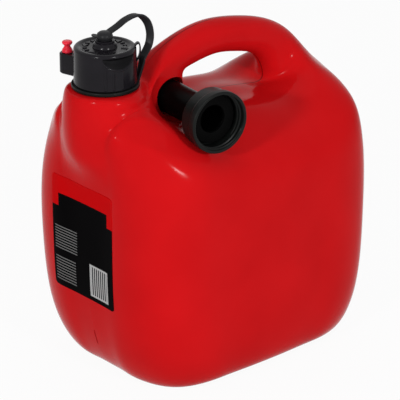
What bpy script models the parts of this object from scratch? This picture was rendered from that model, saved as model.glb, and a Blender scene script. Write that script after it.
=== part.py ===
# A plastic fuel can: a blown tank with its handle moulded on, a screw cap held by a tether,
# and a pouring spout that is kept in a tunnel through the handle's front foot.
# Lengths are in metres. The origin is at the middle of the base, +Z is up, the neck stands
# near the -X end wall, and the kept spout's mouth shows on the -Y side.

import math

import bmesh
import bpy
from mathutils import Matrix, Vector

# Clearance between pieces that touch
GAP = 0.0003

# Tank: outer body
TANK_LENGTH = 0.2182
TANK_DEPTH = 0.1558
TANK_WALL = 0.0020
SIDE_CROWN = 0.0024
CORNER_RADIUS = 0.0376
FOOT_CORNER_RADIUS = 0.0415
BASE_CORNER_RADIUS = 0.0365
BASE_EDGE_HEIGHT = 0.0050
BASE_FRONT_INSET = 0.0190
BASE_REAR_INSET = 0.0128
BASE_SIDE_INSET = 0.0098
BASE_FLAT_INSET = 0.0355
FOOT_HEIGHT = 0.0370
FOOT_FRONT_INSET = 0.0042
FOOT_REAR_INSET = 0.0014
FOOT_SIDE_INSET = 0.0004
WALL_HEIGHT = 0.0930
SHOULDER_HEIGHT = 0.1680
PANEL_DROP = 0.0230
SHOULDER_INSET = 0.0076

# Tank: neck column at the front end
NECK_SETBACK = 0.0186
COLUMN_RADIUS = 0.0300
COLUMN_RISE = 0.0533
COLUMN_EDGE_DROP = 0.0076
COLUMN_FACE_RADIUS = 0.0254
FACE_DROP = 0.0006

# Tank: handle and the hand gap under it
HANDLE_RISE = 0.0272
HANDLE_THICKNESS = 0.0256
HANDLE_WIDTH = 0.0251
GAP_FLOOR_RISE = 0.0270

# Neck finish, where the cap screws on
NECK_RADIUS = 0.0172
NECK_BORE_RADIUS = 0.0149
NECK_HEIGHT = 0.0217
THREAD_HEIGHT = 0.0014
THREAD_LEAD = 0.0050
THREAD_TURNS = 1.5

# Screw cap
CAP_RADIUS = 0.0221
CAP_DRAFT = 0.0003
CAP_WALL = 0.0019
CAP_HEIGHT = 0.0266
CAP_PLATE = 0.0044
CAP_RIM_WIDTH = 0.0022
CAP_DISH_DEPTH = 0.0014
CAP_FACETS = 24
CAP_TAB_REACH = 0.0026
CAP_TAB_WIDTH = 0.0060
CAP_TAB_HEIGHT = 0.0140
CAP_TAB_RISE = 0.0014
CAP_TAB_ANGLE = -34.0
HUB_RADIUS = 0.0086
HUB_TOP_RADIUS = 0.0080
HUB_HEIGHT = 0.0055
HUB_BORE_RADIUS = 0.0030
GASKET_THICKNESS = 0.0016
GASKET_RADIUS = 0.0178
GASKET_BORE_RADIUS = 0.0140

# Vent: a lug at the cap's side with a pull-up stopper
VENT_DISTANCE = 0.0326
VENT_ANGLE = 105.0
VENT_LUG_RADIUS = 0.0056
VENT_LUG_HEIGHT = 0.0148
VENT_BORE_RADIUS = 0.0019
STOPPER_DISC_RADIUS = 0.0037
STOPPER_HEIGHT = 0.0079

# Tether between the neck and the cap
RING_RADIUS = 0.0239
RING_THICKNESS = 0.0026
BAND_WIDTH = 0.0056
BAND_THICKNESS = 0.0018
BUTTON_RADIUS = 0.0057
BUTTON_HEIGHT = 0.0060
STEM_RADIUS = 0.0026
STEM_HEAD_RADIUS = 0.0041

# Pouring spout
SPOUT_ANGLE = 6.5
SPOUT_OFFSET = 0.0495
SPOUT_RISE = 0.0102
MOUTH_SETBACK = 0.0038
NUT_MOUTH_RADIUS = 0.0224
NUT_BACK_RADIUS = 0.0213
NUT_LENGTH = 0.0165
NUT_WALL = 0.0024
NUT_BACK_WALL = 0.0025
TUBE_RADIUS = 0.0118
TUBE_WALL = 0.0018
TUBE_TIP_RADIUS = 0.0096
TUBE_TAPER_LENGTH = 0.0500
SPOUT_LENGTH = 0.1490
FLANGE_RADIUS = 0.0176
FLANGE_THICKNESS = 0.0024
SPOUT_GASKET_THICKNESS = 0.0018
TUNNEL_CLEARANCE = 0.0028
TUNNEL_HEADROOM = 0.0010
TUNNEL_WALL = 0.0016
TUNNEL_FLARE = 0.0024
TUNNEL_REACH = 0.0260

# Label on the front end wall
LABEL_LOW = 0.0630
LABEL_HIGH = 0.1500
LABEL_WIDTH = 0.0675
LABEL_SHIFT = 0.0050
LABEL_CORNER_RADIUS = 0.0020
LABEL_THICKNESS = 0.0004

# Steps round turned pieces
STEPS = 36

# Places worked out from the sizes above
FRONT_X = -TANK_LENGTH / 2
REAR_X = TANK_LENGTH / 2
HALF_DEPTH = TANK_DEPTH / 2
PANEL_TOP = SHOULDER_HEIGHT - PANEL_DROP
COLUMN_TOP = SHOULDER_HEIGHT + COLUMN_RISE
HANDLE_TOP = COLUMN_TOP + HANDLE_RISE
GAP_FLOOR = SHOULDER_HEIGHT + GAP_FLOOR_RISE
NECK_X = FRONT_X + NECK_SETBACK
NECK_TOP = COLUMN_TOP + NECK_HEIGHT
RING_BOTTOM = COLUMN_TOP + GAP
RING_TOP = RING_BOTTOM + RING_THICKNESS
CAP_BOTTOM = RING_TOP + GAP
CAP_TOP = CAP_BOTTOM + CAP_HEIGHT
CAP_BORE_RADIUS = CAP_RADIUS - CAP_WALL
CAP_DISH = CAP_TOP - CAP_DISH_DEPTH
CAP_CEILING = CAP_DISH - CAP_PLATE
HUB_TOP = CAP_DISH + HUB_HEIGHT
VENT_LUG_BOTTOM = CAP_BOTTOM + GAP
VENT_LUG_TOP = VENT_LUG_BOTTOM + VENT_LUG_HEIGHT
BUTTON_BOTTOM = HUB_TOP + GAP
BUTTON_TOP = BUTTON_BOTTOM + BUTTON_HEIGHT
SPOUT_TURN = math.radians(SPOUT_ANGLE)
SPOUT_AXIS_HEIGHT = GAP_FLOOR + SPOUT_RISE
MOUTH_REACH = HALF_DEPTH - MOUTH_SETBACK
TUNNEL_HALF_WIDTH = TUBE_RADIUS + TUNNEL_CLEARANCE
TUNNEL_HALF_HEIGHT = TUBE_RADIUS + TUNNEL_HEADROOM / 2
TUNNEL_X = NECK_X + SPOUT_OFFSET
TUNNEL_Z = SPOUT_AXIS_HEIGHT + TUNNEL_HEADROOM / 2 - GAP
MOUTH_X = TUNNEL_X - MOUTH_REACH * math.tan(SPOUT_TURN)

MODEL = None
CUTTERS = None


# Scene


def clear_scene():
    for item in list(bpy.data.objects):
        bpy.data.objects.remove(item)


def new_collection(name):
    made = bpy.data.collections.new(name)
    bpy.context.scene.collection.children.link(made)
    return made


def plastic(name, colour, roughness, metallic=0.0):
    made = bpy.data.materials.new(name)
    made.use_nodes = True
    shader = made.node_tree.nodes["Principled BSDF"]
    shader.inputs["Base Color"].default_value = (*colour, 1.0)
    shader.inputs["Roughness"].default_value = roughness
    shader.inputs["Metallic"].default_value = metallic
    return made


# Building blocks


def add_object(name, mesh, material=None):
    made = bpy.data.objects.new(name, mesh)
    if material is None:
        made.display_type = "WIRE"
        made.hide_render = True
        CUTTERS.objects.link(made)
    else:
        mesh.materials.append(material)
        MODEL.objects.link(made)
    return made


def boolean(target, operation, tool):
    step = target.modifiers.new(operation.lower(), "BOOLEAN")
    step.operation = operation
    step.object = tool
    step.solver = "EXACT"


def turned(name, outline, material=None, steps=None):
    # outline: (radius, height) points down the outer side and back up the inner side
    mesh = bpy.data.meshes.new(name)
    count = len(outline)
    on_axis = outline[0][0] == 0.0 and outline[-1][0] == 0.0
    edges = [(i, i + 1) for i in range(count - 1)]
    if not on_axis:
        edges.append((count - 1, 0))
    mesh.from_pydata([(radius, 0.0, height) for radius, height in outline], edges, [])
    made = add_object(name, mesh, material)
    screw = made.modifiers.new("turn", "SCREW")
    screw.axis = "Z"
    screw.angle = math.tau
    screw.steps = steps or STEPS
    screw.render_steps = screw.steps
    screw.use_merge_vertices = True
    screw.merge_threshold = 0.00001
    screw.use_smooth_shade = True
    return made


def loft(name, sections, material=None):
    # closed sections of equal point count, joined in turn and capped at both ends
    bm = bmesh.new()
    rows = [[bm.verts.new(point) for point in section] for section in sections]
    count = len(rows[0])
    for row, after in zip(rows, rows[1:]):
        for i in range(count):
            j = (i + 1) % count
            bm.faces.new((row[i], row[j], after[j], after[i]))
    bm.faces.new(list(reversed(rows[0])))
    bm.faces.new(rows[-1])
    bmesh.ops.recalc_face_normals(bm, faces=bm.faces)
    mesh = bpy.data.meshes.new(name)
    bm.to_mesh(mesh)
    bm.free()
    return add_object(name, mesh, material)


def ellipse(half_width, half_height, steps):
    turn = math.tau / steps
    return [(half_width * math.cos(i * turn), half_height * math.sin(i * turn)) for i in range(steps)]


def thread_rib(name, radius, inward, start, turns, lead, height):
    # a helical rib of round section whose middle lies in the wall at this radius
    per_turn = 20
    count = int(turns * per_turn) + 1
    centre = radius - height * 0.2 if inward else radius + height * 0.2
    curve = bpy.data.curves.new(name, "CURVE")
    curve.dimensions = "3D"
    curve.bevel_depth = height * 0.8
    curve.bevel_resolution = 1
    curve.use_fill_caps = True
    line = curve.splines.new("POLY")
    line.points.add(count - 1)
    for i, point in enumerate(line.points):
        angle = math.tau * i / per_turn
        rise = lead * i / per_turn
        point.co = (centre * math.cos(angle), centre * math.sin(angle), start + rise, 1.0)
    holder = bpy.data.objects.new(name + "_line", curve)
    CUTTERS.objects.link(holder)
    evaluated = holder.evaluated_get(bpy.context.evaluated_depsgraph_get())
    mesh = bpy.data.meshes.new_from_object(evaluated)
    bpy.data.objects.remove(holder)
    bm = bmesh.new()
    bm.from_mesh(mesh)
    bmesh.ops.remove_doubles(bm, verts=bm.verts, dist=0.000001)
    bmesh.ops.recalc_face_normals(bm, faces=bm.faces)
    bm.to_mesh(mesh)
    bm.free()
    return add_object(name, mesh)


# Tank: the cage of its near half, in named points


def wall_ring(height, front_inset, rear_inset, side_inset, radius):
    # fifteen points from the middle of the front wall round the near side to the rear wall
    front = FRONT_X + front_inset
    rear = REAR_X - rear_inset
    depth = HALF_DEPTH - side_inset
    flat = depth - radius
    slant = radius * (1 - math.sqrt(0.5))
    points = [(front, -flat * share, height) for share in (0.0, 0.5, 1.0)]
    points.append((front + slant, -depth + slant, height))
    for share in (0.0, 0.15, 0.31, 0.48, 0.65, 0.83, 1.0):
        crown = SIDE_CROWN * (1 - (2 * share - 1) ** 2)
        points.append((front + radius + (rear - front - 2 * radius) * share, -depth - crown, height))
    points.append((rear - slant, -depth + slant, height))
    points += [(rear, -flat * share, height) for share in (1.0, 0.5, 0.0)]
    return points


def along_top(share):
    # places along the top run from the neck's axis (0) to the rear wall (1)
    return NECK_X + (REAR_X - NECK_X) * share


def wall_points():
    rings = {
        "base": wall_ring(
            BASE_EDGE_HEIGHT, BASE_FRONT_INSET, BASE_REAR_INSET, BASE_SIDE_INSET, BASE_CORNER_RADIUS),
        "foot": wall_ring(
            FOOT_HEIGHT, FOOT_FRONT_INSET, FOOT_REAR_INSET, FOOT_SIDE_INSET, FOOT_CORNER_RADIUS),
        "wall": wall_ring(WALL_HEIGHT, 0.0, 0.0, 0.0, CORNER_RADIUS),
        "panel": wall_ring(PANEL_TOP, 0.0, 0.0, 0.0004, CORNER_RADIUS),
    }
    points = {}
    for ring, places in rings.items():
        for i, place in enumerate(places):
            points[f"{ring}{i}"] = place
    for i in (0, 1, 2):
        # under the neck the front wall runs higher before it meets the column
        x, y, z = points[f"panel{i}"]
        points[f"panel{i}"] = (x, y, z + 0.0080)
    points["panel_v"] = (FRONT_X - 0.0004, -0.0270, PANEL_TOP + 0.0070)
    return points


def shoulder_points():
    side = -HALF_DEPTH + SHOULDER_INSET
    level = SHOULDER_HEIGHT
    column_front = NECK_X - COLUMN_RADIUS
    return {
        "edge0": (column_front, 0.0, level + 0.0080),
        "edge1": (column_front + 0.0062, -0.0190, level + 0.0095),
        "edge_v": (FRONT_X - 0.0020, -0.0270, level + 0.0135),
        "edge2": (FRONT_X + 0.0021, -0.0415, level + 0.0195),
        "edge3": (NECK_X - 0.0002, side + 0.0124, level + 0.0173),
        "edge4": (along_top(0.082), side + 0.0010, level + 0.0125),
        "edge5": (along_top(0.182), side, level + 0.0068),
        "edge6": (along_top(0.292), side, level + 0.0020),
        "edge7": (along_top(0.415), side, level + 0.0002),
        "edge8": (along_top(0.549), side, level + 0.0002),
        "edge9": (along_top(0.695), side - 0.0003, level + 0.0006),
        "edge10": (along_top(0.828), side + 0.0011, level + 0.0035),
        "edge11": (along_top(0.917), side + 0.0092, level + 0.0097),
        "edge12": (along_top(0.978), -0.0407, level + 0.0136),
        "edge13": (along_top(0.994), -0.0199, level + 0.0172),
        "edge14": (along_top(1.000), 0.0, level + 0.0198),
        "round1": (NECK_X - 0.0187, -0.0270, level + 0.0285),
        "round2": (NECK_X + 0.0030, -0.0326, level + 0.0432),
        "round3": (NECK_X + 0.0222, -0.0264, level + 0.0400),
        "top0": (NECK_X - 0.0165, -0.0335, level + 0.0325),
        "top1": (NECK_X + 0.0045, -0.0370, level + 0.0420),
        "top2": (along_top(0.158), -0.0355, level + 0.0262),
        "top3": (along_top(0.311), -0.0399, level + 0.0230),
        "top4": (along_top(0.501), -0.0418, level + 0.0238),
        "top5": (along_top(0.701), -0.0418, level + 0.0192),
        "top6": (along_top(0.848), -0.0352, level + 0.0317),
    }


def column_points():
    level = COLUMN_TOP - FACE_DROP
    points = {"neck": (NECK_X, 0.0, level)}
    half_root = math.sqrt(0.5)
    around = ((-1.0, 0.0), (-half_root, -half_root), (0.0, -1.0), (half_root, -half_root), (1.0, 0.0))
    for i, across in enumerate(around):
        inner = COLUMN_FACE_RADIUS
        points[f"face{i}"] = (NECK_X + inner * across[0], inner * across[1], level)
        outer = COLUMN_RADIUS
        side = (NECK_X + outer * across[0], outer * across[1], COLUMN_TOP - COLUMN_EDGE_DROP)
        points[f"column{i}"] = side
    points["column3"] = (along_top(0.113), -0.0204, COLUMN_TOP - COLUMN_EDGE_DROP)
    points["column4"] = (along_top(0.165), 0.0, COLUMN_TOP + 0.0036)
    return points


def handle_points():
    # stations along the handle: place, drop of the middle line below the top one, slope, spread
    stations = [
        (0.239, 0.0108, 22.0, 1.0),
        (0.353, 0.0037, 13.0, 1.0),
        (0.477, 0.0000, 1.0, 1.0),
        (0.606, 0.0038, -16.0, 1.02),
        (0.720, 0.0110, -28.0, 1.06),
        (0.806, 0.0237, -42.0, 1.17),
    ]
    corner = 0.72
    half_width = HANDLE_WIDTH / 2
    middle = HANDLE_TOP - HANDLE_THICKNESS / 2
    points = {}
    for k, (share, drop, slope, spread) in enumerate(stations, start=1):
        half = HANDLE_THICKNESS / 2 * spread
        turn = math.radians(slope)
        x, z = along_top(share), middle - drop
        up = (-math.sin(turn) * half, math.cos(turn) * half)
        points[f"crest{k}"] = (x + up[0], 0.0, z + up[1])
        points[f"upper{k}"] = (x + up[0] * corner, -half_width * corner, z + up[1] * corner)
        points[f"side{k}"] = (x, -half_width, z)
        points[f"lower{k}"] = (x - up[0] * corner, -half_width * corner, z - up[1] * corner)
        points[f"under{k}"] = (x - up[0], 0.0, z - up[1])
    return points


def foot_points():
    # where the handle's two feet meet the column, the tank's top and the hand gap's floor
    floor = GAP_FLOOR
    top = HANDLE_TOP
    column = COLUMN_TOP
    return {
        "crest1": (along_top(0.218), 0.0, top - 0.0146),
        "upper1": (along_top(0.225), -0.0095, top - 0.0163),
        "side1": (along_top(0.244), -0.0133, top - 0.0234),
        "under1": (along_top(0.325), 0.0, top - 0.0319),
        "crest6": (along_top(0.860), 0.0, top - 0.0250),
        "upper6": (along_top(0.844), -0.0114, top - 0.0305),
        "side6": (along_top(0.810), -0.0147, top - 0.0376),
        "lower6": (along_top(0.753), -0.0104, top - 0.0471),
        "under6": (along_top(0.732), 0.0, top - 0.0490),
        "crest7": (along_top(0.950), 0.0, top - 0.0462),
        "upper7": (along_top(0.919), -0.0190, top - 0.0486),
        "front_foot_high": (along_top(0.158), -0.0147, column - 0.0019),
        "front_foot_mid": (along_top(0.154), -0.0161, column - 0.0152),
        "foot_side": (along_top(0.239), -0.0138, column - 0.0152),
        "front_foot_low": (along_top(0.163), -0.0190, floor + 0.0007),
        "foot_side_low": (along_top(0.244), -0.0181, floor - 0.0060),
        "rear_foot_low": (along_top(0.330), -0.0143, floor - 0.0022),
        "gap_front_high": (along_top(0.313), -0.0095, floor + 0.0235),
        "gap_front_low": (along_top(0.320), -0.0095, floor + 0.0092),
        "gap_front": (along_top(0.328), 0.0, floor + 0.0083),
        "floor0": (along_top(0.345), 0.0, floor + 0.0007),
        "floor1": (along_top(0.501), 0.0, floor - 0.0001),
        "floor2": (along_top(0.634), 0.0, floor - 0.0028),
        "floor3": (along_top(0.720), 0.0, floor - 0.0055),
        "floor_side1": (along_top(0.501), -0.0199, floor - 0.0017),
        "floor_side2": (along_top(0.663), -0.0190, floor - 0.0050),
        "floor_side3": (along_top(0.768), -0.0181, floor - 0.0004),
    }


def base_points():
    # the flat that the can stands on, seven points long and three deep
    points = {}
    front = FRONT_X + BASE_FLAT_INSET
    rear = REAR_X - BASE_FLAT_INSET
    depth = HALF_DEPTH - BASE_FLAT_INSET
    for i in range(7):
        for j in range(3):
            points[f"flat{i}_{j}"] = (front + (rear - front) * i / 6, -depth * j / 2, 0.0)
    return points


def cage_points():
    points = wall_points()
    points.update(base_points())
    points.update(shoulder_points())
    points.update(column_points())
    points.update(handle_points())
    points.update(foot_points())
    return points


def cage_faces():
    faces = []
    rings = ("base", "foot", "wall", "panel", "edge")
    for low, high in zip(rings, rings[1:]):
        for i in range(14):
            if i == 1 and low in ("wall", "panel"):
                continue
            faces.append((f"{low}{i}", f"{low}{i + 1}", f"{high}{i + 1}", f"{high}{i}"))
    for i in range(6):
        for j in range(2):
            faces.append((f"flat{i}_{j}", f"flat{i + 1}_{j}", f"flat{i + 1}_{j + 1}", f"flat{i}_{j + 1}"))
        faces.append((f"flat{i}_2", f"flat{i + 1}_2", f"base{5 + i}", f"base{4 + i}"))
    for j in range(2):
        faces.append((f"base{j + 1}", f"base{j}", f"flat0_{j}", f"flat0_{j + 1}"))
        faces.append((f"base{14 - j}", f"base{13 - j}", f"flat6_{j + 1}", f"flat6_{j}"))
    faces.append(("base2", "flat0_2", "base4", "base3"))
    faces.append(("base12", "base11", "base10", "flat6_2"))
    faces += [tuple(line.split()) for line in TOP_FACES.strip().splitlines()]
    for k in range(1, 6):
        faces.append((f"crest{k}", f"upper{k}", f"upper{k + 1}", f"crest{k + 1}"))
        faces.append((f"upper{k}", f"side{k}", f"side{k + 1}", f"upper{k + 1}"))
    for k in range(2, 6):
        faces.append((f"side{k}", f"lower{k}", f"lower{k + 1}", f"side{k + 1}"))
        faces.append((f"lower{k}", f"under{k}", f"under{k + 1}", f"lower{k + 1}"))
    return faces


TOP_FACES = """
neck face0 face1 face2
neck face2 face3 face4
face0 column0 column1 face1
face1 column1 column2 face2
face2 column2 column3 face3
face3 column3 column4 face4
edge0 edge1 column1 column0
wall1 wall2 panel2 panel_v panel1
panel1 panel_v edge_v edge1
panel_v panel2 edge2 edge_v
edge1 edge_v round1 column1
edge_v edge2 top0 round1
edge2 edge3 edge4 top0
column1 round1 round2 column2
round1 top0 top1 round2
top0 edge4 edge5 top1
column2 round2 round3 column3
round2 top1 top2 round3
top1 edge5 edge6 top2
column3 round3 front_foot_mid front_foot_high
round3 top2 foot_side_low front_foot_low front_foot_mid
top2 top3 rear_foot_low foot_side_low
top2 edge6 edge7 top3
top3 top4 floor_side1 rear_foot_low
top3 edge7 edge8 top4
top4 top5 floor_side2 floor_side1
top4 edge8 edge9 top5
top5 top6 floor_side3 floor_side2
top5 edge9 edge10 top6
top6 edge10 edge11 edge12
top6 edge12 edge13 upper7
upper7 edge13 edge14 crest7
column4 column3 upper1 crest1
column3 front_foot_high side1 upper1
front_foot_high front_foot_mid foot_side side1
side1 foot_side gap_front_low gap_front_high
front_foot_mid front_foot_low foot_side_low foot_side
foot_side foot_side_low rear_foot_low gap_front_low
gap_front_high gap_front_low gap_front under1
gap_front_low rear_foot_low floor0 gap_front
rear_foot_low floor_side1 floor1 floor0
floor_side1 floor_side2 floor2 floor1
floor_side2 floor_side3 floor3 floor2
crest6 upper6 upper7 crest7
upper6 side6 top6 upper7
side6 lower6 floor_side3 top6
side1 gap_front_high lower2 side2
gap_front_high under1 under2 lower2
lower6 under6 floor3 floor_side3
"""


def surface_places(places, faces):
    # where the smooth surface passes for each cage point, with the far half mirrored
    count = len(places)
    mirrored = {}
    both = list(places)
    for i, place in enumerate(places):
        if place.y == 0.0:
            mirrored[i] = i
        else:
            mirrored[i] = len(both)
            both.append(Vector((place.x, -place.y, place.z)))
    quads = faces + [[mirrored[i] for i in reversed(face)] for face in faces]
    beside = [set() for _ in both]
    across = [[] for _ in both]
    for quad in quads:
        sides = len(quad)
        for k, point in enumerate(quad):
            beside[point].update((quad[k - 1], quad[(k + 1) % sides]))
            others = [both[quad[(k + step) % sides]] for step in range(2, sides - 1)]
            across[point].append(sum(others, Vector()) / len(others))
    result = []
    for i in range(count):
        ways = len(beside[i])
        total = both[i] * ways * ways
        total += 4 * sum((both[j] for j in beside[i]), Vector())
        total += sum(across[i], Vector())
        result.append(total / (ways * (ways + 5)))
    return result


def tank_cage_mesh():
    # the named places lie on the surface, so the cage is eased outwards to meet them
    points = cage_points()
    names = sorted({name for face in cage_faces() for name in face})
    index = {name: i for i, name in enumerate(names)}
    faces = [[index[name] for name in face] for face in cage_faces()]
    wanted = [Vector(points[name]) for name in names]
    places = [place.copy() for place in wanted]
    for _ in range(3):
        reached = surface_places(places, faces)
        for i, name in enumerate(names):
            if name.startswith("flat"):
                continue
            step = (wanted[i] - reached[i]) * 0.75
            if wanted[i].y == 0.0:
                step.y = 0.0
            places[i] += step
    mesh = bpy.data.meshes.new("tank_cage")
    mesh.from_pydata(places, [], faces)
    mesh.shade_smooth()
    return mesh


def tank_form(name, mesh, material=None, level=1, swell=0.0):
    made = add_object(name, mesh, material)
    mirror = made.modifiers.new("halves", "MIRROR")
    mirror.use_axis = (False, True, False)
    mirror.use_clip = True
    mirror.merge_threshold = 0.00001
    smooth = made.modifiers.new("smooth", "SUBSURF")
    smooth.levels = level
    smooth.render_levels = level
    if swell:
        offset = made.modifiers.new("offset", "DISPLACE")
        offset.strength = swell
        offset.mid_level = 0.0
    return made


def oval_bar(name, half_width, half_height):
    # an oval bar through the handle's front foot, along Y, wider at both mouths
    sections = []
    for y, flare in ((TUNNEL_REACH, TUNNEL_FLARE), (0.0, 0.0), (-TUNNEL_REACH, TUNNEL_FLARE)):
        outline = ellipse(half_width + flare, half_height + flare, 28)
        sections.append([(TUNNEL_X + x, y, TUNNEL_Z + z) for x, z in outline])
    return loft(name, sections)


def build_tank(red):
    mesh = tank_cage_mesh()
    tank = tank_form("tank_shell", mesh, red)
    wall = TANK_WALL
    inside = tank_form("tank_inside", mesh.copy(), swell=-wall)
    sleeve = oval_bar("tunnel_sleeve", TUNNEL_HALF_WIDTH + TUNNEL_WALL, TUNNEL_HALF_HEIGHT + TUNNEL_WALL)
    tunnel = oval_bar("tunnel", TUNNEL_HALF_WIDTH, TUNNEL_HALF_HEIGHT)
    boolean(inside, "DIFFERENCE", sleeve)
    seat = NECK_RADIUS + GAP
    hole = turned("neck_hole", [
        (0.0, NECK_TOP), (seat, NECK_TOP), (seat, COLUMN_TOP - wall * 3), (0.0, COLUMN_TOP - wall * 3),
    ])
    hole.location.x = NECK_X
    boolean(tank, "DIFFERENCE", tunnel)
    boolean(tank, "DIFFERENCE", inside)
    boolean(tank, "DIFFERENCE", hole)
    return mesh


def build_neck(red):
    # the threaded neck, which fills the hole in the column's top
    lip = 0.0006
    low = COLUMN_TOP - FACE_DROP - TANK_WALL
    finish = turned("neck_finish", [
        (NECK_BORE_RADIUS, NECK_TOP), (NECK_RADIUS - lip, NECK_TOP), (NECK_RADIUS, NECK_TOP - lip),
        (NECK_RADIUS, low), (NECK_BORE_RADIUS, low),
    ], red)
    start = NECK_TOP - 0.0035 - THREAD_TURNS * THREAD_LEAD
    thread = thread_rib("neck_thread", NECK_RADIUS, False, start, THREAD_TURNS, THREAD_LEAD, THREAD_HEIGHT)
    for piece in (finish, thread):
        piece.location.x = NECK_X
    boolean(finish, "UNION", thread)


def build_label(mesh, paper):
    # a film that follows the front wall, cut out of a slightly larger copy of the tank
    outer = tank_form("label_outer", mesh.copy(), swell=GAP + LABEL_THICKNESS)
    inner = tank_form("label_inner", mesh.copy(), swell=GAP)
    middle = (LABEL_LOW + LABEL_HIGH) / 2
    half_width = LABEL_WIDTH / 2
    half_height = (LABEL_HIGH - LABEL_LOW) / 2
    outline = []
    for sign_y, sign_z, start in ((1, 1, 0), (-1, 1, 90), (-1, -1, 180), (1, -1, 270)):
        for step in range(4):
            turn = math.radians(start + step * 30)
            y = sign_y * (half_width - LABEL_CORNER_RADIUS) + LABEL_CORNER_RADIUS * math.cos(turn)
            z = sign_z * (half_height - LABEL_CORNER_RADIUS) + LABEL_CORNER_RADIUS * math.sin(turn)
            outline.append((LABEL_SHIFT + y, middle + z))
    sections = [[(x, y, z) for y, z in outline] for x in (FRONT_X - 0.01, FRONT_X + 0.01)]
    label = loft("front_label", sections, paper)
    boolean(label, "INTERSECT", outer)
    boolean(label, "DIFFERENCE", inner)


# Screw cap, its gasket and its vent stopper


def vent_place():
    turn = math.radians(VENT_ANGLE)
    return Vector((NECK_X + VENT_DISTANCE * math.cos(turn), VENT_DISTANCE * math.sin(turn), 0.0))


def vent_lug():
    # a round-ended lug that stands out from the cap's skirt
    turn = math.radians(VENT_ANGLE)
    across = Vector((-math.sin(turn), math.cos(turn), 0.0))
    out = Vector((math.cos(turn), math.sin(turn), 0.0))
    end = vent_place() - Vector((NECK_X, 0.0, 0.0))
    root = out * (CAP_RADIUS - CAP_WALL * 0.6)
    outline = [root - across * VENT_LUG_RADIUS]
    for step in range(9):
        angle = math.radians(-90 + step * 22.5)
        reach = out * math.cos(angle) + across * math.sin(angle)
        outline.append(end + reach * VENT_LUG_RADIUS)
    outline.append(root + across * VENT_LUG_RADIUS)
    heights = (VENT_LUG_BOTTOM, VENT_LUG_TOP)
    return loft("vent_lug", [[(p.x, p.y, z) for p in outline] for z in heights])


def cap_tab():
    # a small upright lug on the skirt, under the rim
    bm = bmesh.new()
    depth = CAP_TAB_REACH + CAP_WALL * 0.6
    reach = CAP_RADIUS + CAP_TAB_REACH - depth / 2
    place = Matrix.Rotation(math.radians(CAP_TAB_ANGLE), 4, "Z")
    place = place @ Matrix.Translation((reach, 0.0, CAP_TOP + CAP_TAB_RISE - CAP_TAB_HEIGHT / 2))
    size = Matrix.Diagonal((depth, CAP_TAB_WIDTH, CAP_TAB_HEIGHT, 1.0))
    bmesh.ops.create_cube(bm, size=1.0, matrix=place @ size)
    mesh = bpy.data.meshes.new("cap_tab")
    bm.to_mesh(mesh)
    bm.free()
    made = add_object("cap_tab", mesh)
    rounding = made.modifiers.new("rounding", "BEVEL")
    rounding.width = 0.0009
    rounding.segments = 2
    return made


def build_cap(black, rubber, red):
    edge = 0.0016
    rim = CAP_RADIUS - CAP_DRAFT
    cap = turned("screw_cap", [
        (HUB_TOP_RADIUS, HUB_TOP), (HUB_RADIUS, CAP_DISH),
        (rim - edge - CAP_RIM_WIDTH, CAP_DISH), (rim - edge - CAP_RIM_WIDTH + 0.0006, CAP_TOP),
        (rim - edge, CAP_TOP), (rim - edge * 0.3, CAP_TOP - edge * 0.3), (rim, CAP_TOP - edge),
        (CAP_RADIUS, CAP_BOTTOM),
        (CAP_BORE_RADIUS, CAP_BOTTOM), (CAP_BORE_RADIUS, CAP_CEILING),
        (HUB_BORE_RADIUS, CAP_CEILING), (HUB_BORE_RADIUS, HUB_TOP),
    ], black, steps=CAP_FACETS)
    start = CAP_BOTTOM + 0.004
    thread = thread_rib("cap_thread", CAP_BORE_RADIUS, True, start, THREAD_TURNS, THREAD_LEAD, 0.0009)
    vent = vent_place()
    bore_bottom = VENT_LUG_TOP - 0.009
    bore = turned("vent_bore", [
        (0.0, VENT_LUG_TOP + 0.002), (VENT_BORE_RADIUS, VENT_LUG_TOP + 0.002),
        (VENT_BORE_RADIUS, bore_bottom), (0.0, bore_bottom),
    ], steps=16)
    bore.location = (vent.x - NECK_X, vent.y, 0.0)
    for tool in (thread, bore):
        tool.location.x += NECK_X
    lug = vent_lug()
    tab = cap_tab()
    for tool in (lug, tab):
        tool.location.x = NECK_X
    cap.location.x = NECK_X
    boolean(cap, "UNION", tab)
    boolean(cap, "UNION", thread)
    boolean(cap, "UNION", lug)
    boolean(cap, "DIFFERENCE", bore)
    gasket_low = NECK_TOP + GAP
    gasket = turned("cap_gasket", [
        (GASKET_BORE_RADIUS, gasket_low + GASKET_THICKNESS), (GASKET_RADIUS, gasket_low + GASKET_THICKNESS),
        (GASKET_RADIUS, gasket_low), (GASKET_BORE_RADIUS, gasket_low),
    ], rubber)
    gasket.location.x = NECK_X
    seat = VENT_LUG_TOP + GAP
    top = seat + STOPPER_HEIGHT
    stem = VENT_BORE_RADIUS - GAP
    disc = STOPPER_DISC_RADIUS
    stopper = turned("vent_stopper", [
        (0.0, top), (disc * 0.8, top), (disc, top - 0.0007), (disc, top - 0.0019),
        (disc * 0.62, top - 0.0028), (disc * 0.62, top - 0.0045), (disc * 0.95, seat + 0.0018),
        (disc * 1.05, seat),
        (stem, seat), (stem, seat - 0.007), (0.0, seat - 0.007),
    ], red, steps=24)
    stopper.location = (vent.x, vent.y, 0.0)


# Tether


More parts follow.
